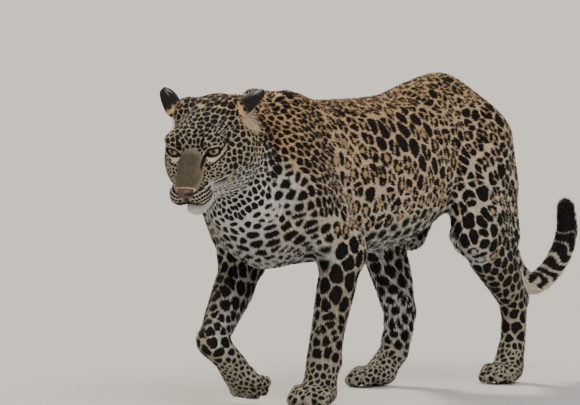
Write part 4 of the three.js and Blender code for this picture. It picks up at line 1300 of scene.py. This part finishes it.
def makeEye(name, side, node):
    # rings about the gaze out to a little past a right angle, each with its angle from the gaze
    rows, columns = 40, 48
    t = np.linspace(0.001, np.pi * 0.62, rows)[:, None]
    turn = np.linspace(0, 2 * np.pi, columns, endpoint=False)[None, :]
    radius = eyeShape["radius"] + eyeLook["cornea"] * (1 - smooth(t, 0, math.radians(40))) - 0.5
    way = np.stack([np.sin(t) * np.cos(turn), np.sin(t) * np.sin(turn), np.cos(t) + 0 * turn], -1)
    shape = radius[..., None] * way
    centre, axes = eyeFrame(side)
    local = centre + shape.reshape(-1, 3) @ axes.T
    points = toWorld(headFrame, local)
    faces = gridFaces(rows, columns, True)
    if side < 0:
        faces = faces[:, ::-1]
    angle = np.degrees(t + 0 * turn).ravel()
    rays = np.stack([np.cos(turn) * 6 + 0 * t, np.sin(turn) * 6 + 0 * t, t * 1.5 + 0 * turn], -1)
    rays = rays.reshape(-1, 3)
    piece = makePiece(name, points, faces, wetEye, {"fromGaze": angle, "irisRays": rays})
    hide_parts(node)


makeEye("eyeLeft", 1, "eye_left")
makeEye("eyeRight", -1, "eye_right")

# Lid rims: a thin wet tube along the edge of the opening, lying on the globe


def lidRim(name, side):
    half, tall = eyeShape["long"] / 2, eyeShape["high"] / 2
    t = np.cos(np.linspace(0, np.pi, 40))
    middle, high, low = lidArcs(t, tall)
    x = np.concatenate([t, t[::-1][1:-1]]) * half
    y = np.concatenate([middle + high, (middle - low)[::-1][1:-1]])
    z = np.sqrt(np.maximum((eyeShape["radius"] + 0.5) ** 2 - x**2 - y**2, 4))
    line = np.stack([x, y, z], 1)
    along = unit(np.roll(line, -1, 0) - np.roll(line, 1, 0))
    out = unit(line)
    sideways = np.cross(along, out)
    thick, flatter = 1.15, 0.8
    turn = np.linspace(0, 2 * np.pi, 8, endpoint=False)[None, :, None]
    ring = np.cos(turn) * sideways[:, None] + flatter * np.sin(turn) * out[:, None]
    ring = line[:, None] + thick * ring
    centre, axes = eyeFrame(side)
    points = toWorld(headFrame, centre + ring.reshape(-1, 3) @ axes.T)
    rows, columns = ring.shape[:2]
    faces = gridFaces(rows + 1, columns, True)
    faces = np.where(faces >= rows * columns, faces - rows * columns, faces)
    if side > 0:
        faces = faces[:, ::-1]
    makePiece(name, points, faces, lidSkin)


def darkSkinMaterial():
    material, nodes, links, shader = bareMaterial("darkWetSkin", 0.35, 0.5)
    where = nodes.new("ShaderNodeTexCoord").outputs["Object"]
    patch = noiseNode(nodes, links, where, 400, 3)
    colour = mixNode(nodes, links, patch, (0.010, 0.008, 0.007, 1), (0.05, 0.035, 0.028, 1))
    links.new(colour, shader.inputs["Base Color"])
    return material


lidSkin = darkSkinMaterial()
lidRim("lidRimLeft", 1)
lidRim("lidRimRight", -1)

# Nose: the leather pad over the end of the muzzle, with its nostrils, on a fine grid of its own
noseShape = {
    "at": (89, 0, -44), "radii": (17, 17.5, 11), "below": (89, 0, -56), "foot": (13, 5.5, 12), "cell": 1.4,
    "nostril": [(107, 7, -45, 2.6, 3.2), (99, 11, -47, 2.4, 3.2), (90, 15, -50, 1.6, 2.4)],
    "wing": [(84, 17.5, -51, 2.2, 2.2), (95, 14.5, -52, 2.2, 2.2), (102, 8, -50.5, 1.8, 1.8)],
    "low": (64, -26, -74), "high": (112, 26, -24),
}


def makeNose(shape):
    pad = mass(shape["at"], np.array(shape["radii"]) - 0.8, 0, 6)
    foot = mass(shape["below"], np.array(shape["foot"]) - 0.6, 0, 6)
    nostril = limb(shape["nostril"], 3)
    wing = limb(shape["wing"], 3)

    def distance(q):
        half = onOneSide(q)
        d = melt(pad["distance"](q), foot["distance"](q), 6)
        d = carve(d, nostril["distance"](half), 3)
        d = melt(d, wing["distance"](half), 4)
        # the cleft down the middle, only at the front
        cleft = np.maximum(half[:, 1] - 0.4, 102 - q[:, 0] - 0.4 * (q[:, 2] + 43))
        return carve(d, cleft, 1.4)

    low, high = np.array(shape["low"], float), np.array(shape["high"], float)
    cell = shape["cell"]
    counts = np.ceil((high - low) / cell).astype(int) + 1
    axes = [low[i] + cell * np.arange(counts[i]) for i in range(3)]
    grid = np.stack(np.meshgrid(*axes, indexing="ij"), -1).reshape(-1, 3)
    points, quads = netOver(distance(grid).reshape(counts), low, cell)
    tris = splitQuads(points, quads)
    points = pulled(distance, evened(points, tris, 0.4), cell)
    # dark where it meets the hair, round the nostrils and down the cleft
    edge = 1 - smooth(points[:, 0], 86, 97)
    edge = np.maximum(edge, 1 - smooth(nostril["distance"](onOneSide(points)), 0.2, 2.6))
    edge = np.maximum(edge, smooth(-points[:, 2], 51, 56))
    place = toWorld(headFrame, points)
    return makePiece("noseLeather", place, tris, noseMaterial(), {"rim": edge})


def noseMaterial():
    material, nodes, links, shader = bareMaterial("dampNoseLeather", 0.42, 0.5)
    where = nodes.new("ShaderNodeTexCoord").outputs["Object"]
    cells = nodes.new("ShaderNodeTexVoronoi")
    cells.inputs["Scale"].default_value = 700
    links.new(where, cells.inputs["Vector"])
    rim = attributeNode(nodes, "rim").outputs["Fac"]
    patch = noiseNode(nodes, links, where, 160, 3)
    leather = mixNode(nodes, links, patch, (0.048, 0.023, 0.018, 1), (0.098, 0.048, 0.036, 1))
    colour = mixNode(nodes, links, rim, leather, (0.022, 0.014, 0.012, 1))
    links.new(colour, shader.inputs["Base Color"])
    bump = nodes.new("ShaderNodeBump")
    bump.inputs["Strength"].default_value = 0.5
    bump.inputs["Distance"].default_value = 0.0008
    links.new(cells.outputs["Distance"], bump.inputs["Height"])
    links.new(bump.outputs[0], shader.inputs["Normal"])
    return material


nose = makeNose(noseShape)
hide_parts("nose")
print("head: eyes and nose made")

# Ears: cups, an arch across at each height closing to a round tip
earShape = {"at": (-93, 60, 44), "width": 28, "curl": 24, "thick": 6, "buried": 18, "inset": 0.8}
earTurns = {
    "left": {"tip": (0.7, -0.6, 0.42), "back": (-0.61, 0.05, 0.79), "length": 62, "side": 1},
    "right": {"tip": (0.02, 0.72, 0.62), "back": (-0.2, -0.85, 0.45), "length": 48, "side": -1},
}


def earPlace(own, a, b, thick):
    # height a from root to tip, b across from edge to edge, and the distance out from the middle sheet
    axis = unit(np.array(own["tip"], float))
    face = np.array(own["back"], float)
    face = unit(face - axis * (axis @ face))
    across = np.cross(axis, face)
    root = toWorld(headFrame, np.array(earShape["at"]) * (1, own["side"], 1))
    rise = -earShape["buried"] + a * (own["length"] + earShape["buried"])
    w = earShape["width"] * np.sqrt(np.maximum(0.012, 1 - (np.abs(a - 0.42) / 0.585) ** 2.6))
    depth = (earShape["curl"] + (4 - earShape["curl"]) * smooth(a, 0.1, 1)) * b * b
    return root + rise[:, None] * axis + (w * b)[:, None] * across + (thick - depth)[:, None] * face


def earTone(a, b, outer):
    # outside black with a streaky grey patch near the tip, tan at the root, and inside cream, dark deep down
    ink, cream, tan = coatTones["ink"], coatTones["cream"], coatTones["warm"]
    streak = 0.10 * np.sin(b * 23 + 5 * a) + 0.09 * np.sin(b * 51)
    patch = 0.5 * smooth(0.20 - np.hypot((a - 0.84) * 1.2, b * 0.6) + streak, 0, 0.2)
    base = 1 - smooth(a, 0.16, 0.36)
    back = ink + (np.array([0.45, 0.45, 0.46]) - ink) * patch[:, None]
    back = back + (tan - back) * base[:, None]
    deep = 1 - smooth(np.abs(b), 0.15, 0.7)
    inside = cream + (np.array([0.20, 0.14, 0.11]) - cream) * (deep * 0.8)[:, None]
    return np.where(outer[:, None], back, inside)


def earSpots(a, b, outer):
    # dark spots on the tan root of its outside
    near = np.hypot((a * 5.2) % 1 - 0.5, (b * 2.6 + 0.5 * np.floor(a * 5.2)) % 1 - 0.5) * 13 - 3.6
    return np.where(outer & (a < 0.36), near, 9.0)


def makeEar(name, key, node):
    # an outer and an inner sheet over the same rows, joined at their edges and closed at root and tip
    own = earTurns[key]
    rows, columns = 26, 22
    a = np.linspace(0, 1, rows)
    b = np.linspace(-1, 1, columns)
    b = np.concatenate([b, b[::-1]])
    sheet = np.concatenate([np.ones(columns), -np.ones(columns)])
    aa, bb = [v.ravel() for v in np.meshgrid(a, b, indexing="ij")]
    ss = np.tile(sheet, rows)
    half = earShape["thick"] * (1 - 0.5 * aa) / 2 - earShape["inset"]
    edge = np.sqrt(np.maximum(1 - np.abs(bb) ** 6, 0.05))
    points = earPlace(own, aa, bb * 0.985, ss * half * edge)
    faces = gridFaces(rows, 2 * columns, True)
    tone = earTone(aa, bb, ss > 0)
    caps = []
    for start, back in ((0, True), ((rows - 1) * 2 * columns, False)):
        j = np.arange(columns - 1)
        low, top = start + j, start + 2 * columns - 1 - j
        cap = np.stack([low, low + 1, top - 1, top], 1)
        caps.append(cap[:, ::-1] if back else cap)
    faces = np.vstack([faces] + caps)
    # faces are turned outward by the sign of the volume that they enclose
    first, second, third = (points[faces[:, i]] for i in range(3))
    if (np.cross(second - first, third - first) * first).sum() < 0:
        faces = faces[:, ::-1]
    spots = earSpots(aa, bb, ss > 0)
    paint = {"groundTone": tone, "spotEdge": spots, "spotSoft": np.ones(len(points))}
    piece = makePiece(name, points, faces, skinMaterial, paint)
    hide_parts(node)


makeEar("earLeft", "left", "ear_left")
makeEar("earRight", "right", "ear_right")
print("head: ears made")

# Tufts: each is a thin three-sided blade of hair, sunk at its root, bending over towards its tip
tuftShape = {
    "length": {"body": 11, "leg": 8.5, "head": 7, "face": 4.2, "paw": 4.6, "belly": 24, "tail": 15,
               "ruff": 15},
    "width": {"body": 1.7, "leg": 1.5, "head": 1.3, "face": 0.9, "paw": 1.1, "belly": 2.2, "tail": 2.0,
              "ruff": 1.9},
    "lift": {"body": 0.25, "leg": 0.22, "head": 0.2, "face": 0.2, "paw": 0.22, "belly": 0.32, "tail": 0.34,
             "ruff": 0.34},
    "area": {"body": 13, "leg": 12, "head": 9, "face": 5.5, "paw": 7, "belly": 15, "tail": 10, "ruff": 13},
    "thick": 0.4, "sunk": 0.8, "bow": 0.12,
}


def byZone(values, zone, ruff):
    # the body's value, changed to each zone's by how much a point lies in it
    out = np.full(len(ruff), float(values["body"]))
    for name in ("leg", "belly", "ruff", "tail", "head", "face", "paw"):
        share = ruff if name == "ruff" else zone[name]
        out += (values[name] - out) * share
    return out


def ruffOf(p, n):
    # throat, chest and cheeks, where the hair is longer
    q = toLocal(headFrame, p)
    throat = smooth(-n[:, 2], -0.1, 0.6) * smooth(-p[:, 0], 430, 500) * smooth(p[:, 2], 300, 360)
    cheek = smooth(-q[:, 0], 20, 60) * smooth(-q[:, 2], 10, 50) * (1 - smooth(-q[:, 0], 130, 190))
    return np.clip(np.maximum(throat * 0.8, cheek * 0.6), 0, 1)


def tuftMesh(root, normal, flow, length, width, lift):
    # two three-cornered rows and a tip for each tuft, and the faces between them
    side = np.cross(normal, flow)
    shape = tuftShape
    thick = width * shape["thick"]
    rows = []
    for far, slim in ((0.0, 1.0), (0.5, 0.85)):
        rise = far * length * lift + shape["bow"] * length * np.sin(np.pi * far * 0.8)
        middle = root + (far * length)[:, None] * flow + (rise - (far == 0) * shape["sunk"])[:, None] * normal
        half = (width * slim / 2)[:, None]
        rows += [middle - half * side, middle + half * side, middle + (thick * slim)[:, None] * normal]
    tip = root + length[:, None] * flow + (length * lift * 0.9)[:, None] * normal
    points = np.stack(rows + [tip], 1)
    pattern = np.array([(0, 1, 4), (0, 4, 3), (1, 2, 5), (1, 5, 4), (2, 0, 3), (2, 3, 5),
                        (3, 4, 6), (4, 5, 6), (5, 3, 6), (0, 2, 1)])
    count = points.shape[1]
    faces = (np.arange(len(root)) * count)[:, None, None] + pattern[None]
    return points.reshape(-1, 3), faces.reshape(-1, 3)[:, ::-1]


def wrapOf(name, p):
    # a place on a square unwrap of one part: how far along its axis a point is, and its turn round it
    axis = wrapAxes[name]
    far = (p - axis["from"]) @ axis["way"]
    along = far / axis["long"]
    out = p - axis["from"] - far[:, None] * axis["way"]
    flat = unit(np.cross(axis["way"], [0.31, 0.2, 0.93]))
    up = np.cross(flat, axis["way"])
    turn = np.arctan2(out @ flat, out @ up) / (2 * np.pi) + 0.5
    return np.stack([0.02 + 0.95 * np.clip(along, 0, 1), 0.02 + 0.95 * turn], 1)


def mapHairs(piece, part, roots, corners, faces):
    # each hair is a small patch of its part's unwrap, at its root's place on that unwrap
    patch = np.array(corners, float) * patchHalf
    uv = (wrapOf(part, roots)[:, None] + patch[None]).reshape(-1, 2)
    layer = piece.data.uv_layers.new(name="OFBake")
    layer.data.foreach_set("uv", uv[faces.ravel()].astype(np.float32).ravel())


def axisOf(a, b):
    a, b = np.array(a, float), np.array(b, float)
    return {"from": a, "way": unit(b - a), "long": np.linalg.norm(b - a)}


patchHalf = 0.0015
wrapAxes = {
    "Head": axisOf((-560, 0, 620), (-840, -20, 440)),
    "Neck": axisOf((-640, 0, 540), (-370, 0, 500)),
    "ShoulderLeft": axisOf((-520, 0, 470), (-180, 0, 470)),
    "ShoulderRight": axisOf((-520, 0, 470), (-180, 0, 470)),
    "FlankLeft": axisOf((-250, 0, 470), (180, 0, 490)),
    "FlankRight": axisOf((-250, 0, 470), (180, 0, 490)),
    "HaunchLeft": axisOf((120, 0, 500), (520, 0, 500)),
    "HaunchRight": axisOf((120, 0, 500), (520, 0, 500)),
    "ForelegLeft": axisOf((-300, -95, 360), (-330, -73, 0)),
    "ForelegRight": axisOf((-330, 105, 360), (-490, 80, 20)),
    "HindlegLeft": axisOf((330, -95, 420), (480, -90, 0)),
    "HindlegRight": axisOf((220, 90, 420), (250, 85, 0)),
    "Tail": axisOf((560, 0, 560), (720, -40, 180)),
}


def regionOf(p, zone):
    # the coat piece that each hair belongs to, by where its root is, the later ones over the earlier
    x, y, z = p.T
    q = toLocal(headFrame, p)
    region = np.full(len(p), "Flank", dtype="<U16")
    region[x < -215] = "Shoulder"
    region[x > 140] = "Haunch"
    region[x < -480] = "Neck"
    region[(z < 300) & (x < 0)] = "Foreleg"
    region[(z < 340) & (x > 120)] = "Hindleg"
    region[(z < 300) & (x >= -215) & (x <= 120) & (np.abs(y) < 80) & (z > 262)] = "Flank"
    region[(q[:, 0] > -120) & (np.linalg.norm(q, axis=1) < 190)] = "Head"
    region[zone["tail"] > 0.5] = "Tail"
    plain = np.isin(region, ["Head", "Neck", "Tail"])
    half = np.where(y < 0, "Left", "Right")
    return np.where(plain, region, np.char.add(region, half))


def taperedTubes(lines, thick, sides):
    # a thin tube along each line of points, narrowing to its tip
    many, rows = lines.shape[:2]
    along = unit(np.gradient(lines, axis=1))
    side = unit(np.cross(along, [0.3, 0.2, 0.93]))
    up = np.cross(along, side)
    turn = np.linspace(0, 2 * np.pi, sides, endpoint=False)
    slim = thick[:, None] * (1 - 0.9 * np.linspace(0, 1, rows)[None] ** 1.5)
    ring = np.cos(turn)[:, None] * side[:, :, None] + np.sin(turn)[:, None] * up[:, :, None]
    points = lines[:, :, None] + slim[..., None, None] * ring
    faces = gridFaces(rows, sides, True)
    faces = (np.arange(many) * rows * sides)[:, None, None] + faces[None]
    return points.reshape(-1, 3), faces.reshape(-1, 4)


# Whiskers and the long hair before the ears: thin bent tubes, each set joined in one piece
whiskerLook = {"rows": (0, 1, 2, 3), "spots": (1, 2, 3, 5), "long": (75, 125), "thick": 0.34, "brow": 5}
bristleGrid = {"rows": 14, "sides": 5}


def bristle(root, way, bend, length):
    # a line of points from the root, straight at first and bent more and more towards its tip
    t = np.linspace(0, 1, bristleGrid["rows"])[:, None]
    return np.array(root) + t * length * unit(np.array(way, float)) + t**2 * length * np.array(bend)


def bristlePiece(name, lines, thick, dull, bright):
    # all lines as tubes in one mesh, with tones between a dull and a bright one
    rows, sides = bristleGrid["rows"], bristleGrid["sides"]
    points, faces = taperedTubes(np.array(lines), thick * rng.uniform(0.8, 1.15, len(lines)), sides)
    material, nodes, links, shader = bareMaterial(name + "Hair", 0.4, 0.3)
    tint = noiseNode(nodes, links, nodes.new("ShaderNodeTexCoord").outputs["Object"], 60)
    links.new(mixNode(nodes, links, tint, (*dull, 1), (*bright, 1)), shader.inputs["Base Color"])
    piece = makePiece(name, toWorld(headFrame, points), faces, material)
    across, along = np.meshgrid(np.linspace(-1, 1, sides), np.linspace(-1, 1, rows))
    corners = np.stack([across.ravel(), along.ravel()], 1)
    mapHairs(piece, "Head", toWorld(headFrame, np.array(lines)[:, 0]), corners, faces)


def makeWhiskers(look):
    # white bristles from the whisker rows, out, back and down, and a few shorter ones over each eye
    lines = []
    for side in (-1, 1):
        for row in look["rows"]:
            for spot in look["spots"]:
                far, rise = whiskerPlace(row, spot)
                across = min(far * 0.82, 33 + 0.12 * far)
                ahead = 95 - (far - across) / 0.9
                length = rng.uniform(*look["long"]) * (0.55 + 0.13 * spot)
                way = (-0.75 - 0.15 * spot + rng.normal(0, 0.08), side, -0.12 * row + rng.normal(0, 0.07))
                root = (ahead - 6, side * (across - 6), rise)
                lines.append(bristle(root, way, (-0.38, side * 0.05, -0.2), length))
        for i in range(look["brow"]):
            way = (0.25 + 0.1 * i, side * (0.35 + 0.12 * i), 0.8)
            root = (2 - 3 * i, side * (34 + 5 * i), 19)
            lines.append(bristle(root, way, (-0.45, side * 0.1, -0.1), rng.uniform(40, 70)))
    bristlePiece("whiskers", lines, look["thick"], (0.62, 0.60, 0.55), (0.88, 0.87, 0.84))


fringeLook = {"at": (-90, 72, 14), "radii": (22, 22, 34), "hairs": 460, "long": (14, 27), "thick": 0.42}


def makeEarFringe(look):
    # cream hairs that hang below the outer edge of each ear, rooted on the skin there
    q = toLocal(headFrame, skinPoints)
    lines = []
    for i in rng.choice(np.flatnonzero(ovalShare(onOneSide(q), look) < 1), look["hairs"]):
        way = 0.8 * skinNormals[i] @ headFrame["axes"] + (-0.3, 0, -0.8) + rng.normal(0, 0.15, 3)
        lines.append(bristle(q[i], way, (-0.15, -0.1 * np.sign(q[i, 1]), -0.2), rng.uniform(*look["long"])))
    bristlePiece("earFringe", lines, look["thick"], (0.50, 0.37, 0.24), (0.74, 0.64, 0.49))


makeWhiskers(whiskerLook)
makeEarFringe(fringeLook)
print("head: whiskers and ear fringe made")


def bareSkin(middle, zone):
    # no hair on the rims of the lids, inside the mouth, under the nose leather or on the soles
    half = onOneSide(toLocal(headFrame, middle))
    e = beforeEye(half)
    onFace = zone["face"] > 0.02
    bare = onFace & (e[:, 2] > -5) & (almondDistance(e[:, 0], e[:, 1]) < 1.5)
    bare |= onFace & (mouthLine["distance"](half) < 1.2) & (half[:, 0] > 10)
    return bare | (ovalShare(half, noseCover) < 1) | (middle[:, 2] < 2.5)


def scatterRoots(points, tris):
    # each face gets hairs by its area, and a root is anywhere on its face, as weights of its corners
    tri = points[tris]
    face = np.cross(tri[:, 1] - tri[:, 0], tri[:, 2] - tri[:, 0])
    middle = tri.mean(axis=1)
    zone = zonesOf(middle)
    share = np.linalg.norm(face, axis=1) / 2 / byZone(tuftShape["area"], zone, ruffOf(middle, unit(face)))
    share[bareSkin(middle, zone)] = 0
    load = np.floor(np.cumsum(share) + 0.5).astype(int)
    home = np.repeat(np.arange(len(middle)), np.diff(np.concatenate([[0], load])))
    r = np.sqrt(rng.uniform(0, 1, len(home)))
    t = rng.uniform(0, 1, len(home))
    return tris[home], np.stack([1 - r, r * (1 - t), r * t], 1)


# The three corners of a tuft's root, of its middle and its tip: the paint row and the patch corner of each
tuftRows = (0, 0, 0, 1, 1, 1, 2)
tuftCorners = [(-1, -1), (1, -1), (0, -1), (-1, 0), (1, 0), (0, 0), (0, 1)]
rowPaint = ((0.3, 0.8), (0.6, 1.0), (0.85, 1.16))  # where along the hair its row is painted, and how bright


def growCoat():
    # tufts over the whole skin, painted by the skin's own rule and gathered in one piece for each region
    corners, weights = scatterRoots(skinPoints, skinTris)
    many = len(corners)

    def blend(values):
        return (values[corners] * weights[..., None]).sum(axis=1)

    root, n = blend(skinPoints), unit(blend(skinNormals))
    flow = unit(blend(skinFlow))
    flow = unit(flow + rng.normal(0, 0.16, many)[:, None] * np.cross(n, flow))
    zone = zonesOf(root)
    ruff = ruffOf(root, n)
    length = byZone(tuftShape["length"], zone, ruff) * rng.uniform(0.7, 1.15, many)
    width = byZone(tuftShape["width"], zone, ruff) * rng.uniform(0.75, 1.2, many) * 1
    lift = byZone(tuftShape["lift"], zone, ruff) * rng.uniform(0.6, 1.25, many)
    # hair near the floor never reaches through it
    reach = np.clip((root[:, 2] - 1.0) / np.maximum(length, 1), 0.05, 1)
    length *= np.clip(reach * 2, 0.25, 1)
    shade = rng.uniform(0.84, 1.14, many)[:, None]
    stray = rng.normal(0, 0.35, many)
    paints = []
    for far, level in rowPaint:
        tone, edge, soft = paintAt(root + flow * length[:, None] * far, n)
        paints.append((tone * shade * level, edge + stray, soft))
    region = regionOf(root, zone)
    total = 0
    for name in np.unique(region):
        own = np.flatnonzero(region == name)
        hair = (root[own], n[own], flow[own], length[own], width[own], lift[own])
        points, faces = tuftMesh(*hair)
        points[:, 2] = np.maximum(points[:, 2], 0.5)
        paint = {}
        for i, key in enumerate(("groundTone", "spotEdge", "spotSoft")):
            value = np.stack([paints[row][i][own] for row in tuftRows], 1)
            paint[key] = value.reshape(len(points), *value.shape[2:])
        piece = makePiece("coat" + name, points, faces, hairMaterial, paint)
        mapHairs(piece, name, root[own], tuftCorners, faces)
        total += len(faces)
        print("coat:", name, len(faces), "triangles")
    print("coat:", total, "triangles in all")


growCoat()

# Floor, light and camera
stageLook = {
    "floor": (0.50, 0.495, 0.48), "world": (1.0, 0.99, 0.97), "worldStrength": 0.74, "floorSize": 1200,
}


def makeStage(look):
    s = look["floorSize"] / 2
    mesh = bpy.data.meshes.new("floor")
    mesh.from_pydata([(-s, -s, 0), (s, -s, 0), (s, s, 0), (-s, s, 0)], [], [(0, 1, 2, 3)])
    floor = bpy.data.objects.new("floor", mesh)
    bpy.context.scene.collection.objects.link(floor)
    material, _, _, shader = bareMaterial("paleFloor", 0.9, 0.2)
    shader.inputs["Base Color"].default_value = (*look["floor"], 1)
    mesh.materials.append(material)
    world = bpy.data.worlds.new("softSky")
    world.use_nodes = True
    sky = world.node_tree.nodes["Background"]
    sky.inputs["Color"].default_value = (*look["world"], 1)
    sky.inputs["Strength"].default_value = look["worldStrength"]
    bpy.context.scene.world = world


makeStage(stageLook)

lampLooks = {
    "key": {"from": (-0.75, -0.75, 0.95), "spread": 28, "power": 1.9, "tone": (1.0, 0.96, 0.90)},
    "rim": {"from": (0.55, 0.85, 0.80), "spread": 10, "power": 3.6, "tone": (1.0, 0.88, 0.70)},
}
for name, look in lampLooks.items():
    lamp = bpy.data.lights.new(name, "SUN")
    lamp.angle, lamp.energy, lamp.color = math.radians(look["spread"]), look["power"], look["tone"]
    light = bpy.data.objects.new(name, lamp)
    light.location = Vector(look["from"]) * 4
    light.rotation_mode = "QUATERNION"
    light.rotation_quaternion = (-Vector(look["from"])).to_track_quat("-Z", "Y")
    bpy.context.scene.collection.objects.link(light)

cameraLook = {
    "turn": 30, "rise": 4.3, "far": 12.0, "pixelsPerMetre": 466, "foot": (369, 394), "picture": (580, 405),
}


def makeCamera(look):
    # it looks from ahead and to the left of the animal, and foot is where the origin falls in the picture
    a, e = math.radians(look["turn"]), math.radians(look["rise"])
    back = Vector((-math.cos(a) * math.cos(e), -math.sin(a) * math.cos(e), math.sin(e)))
    right = Vector((math.sin(a), -math.cos(a), 0))
    up = right.cross(-back)
    wide, tall = look["picture"]
    across = (wide / 2 - look["foot"][0]) / look["pixelsPerMetre"]
    rise = (look["foot"][1] - tall / 2) / look["pixelsPerMetre"]
    target = right * across + up * rise
    camera = bpy.data.objects.new("camera", bpy.data.cameras.new("camera"))
    camera.data.sensor_width = 36
    camera.data.lens = 36 * look["pixelsPerMetre"] * look["far"] / wide
    camera.data.clip_end = 800
    camera.location = back * look["far"]
    camera.rotation_mode = "QUATERNION"
    camera.rotation_quaternion = (target - camera.location).to_track_quat("-Z", "Y")
    bpy.context.scene.collection.objects.link(camera)
    bpy.context.scene.camera = camera


makeCamera(cameraLook)
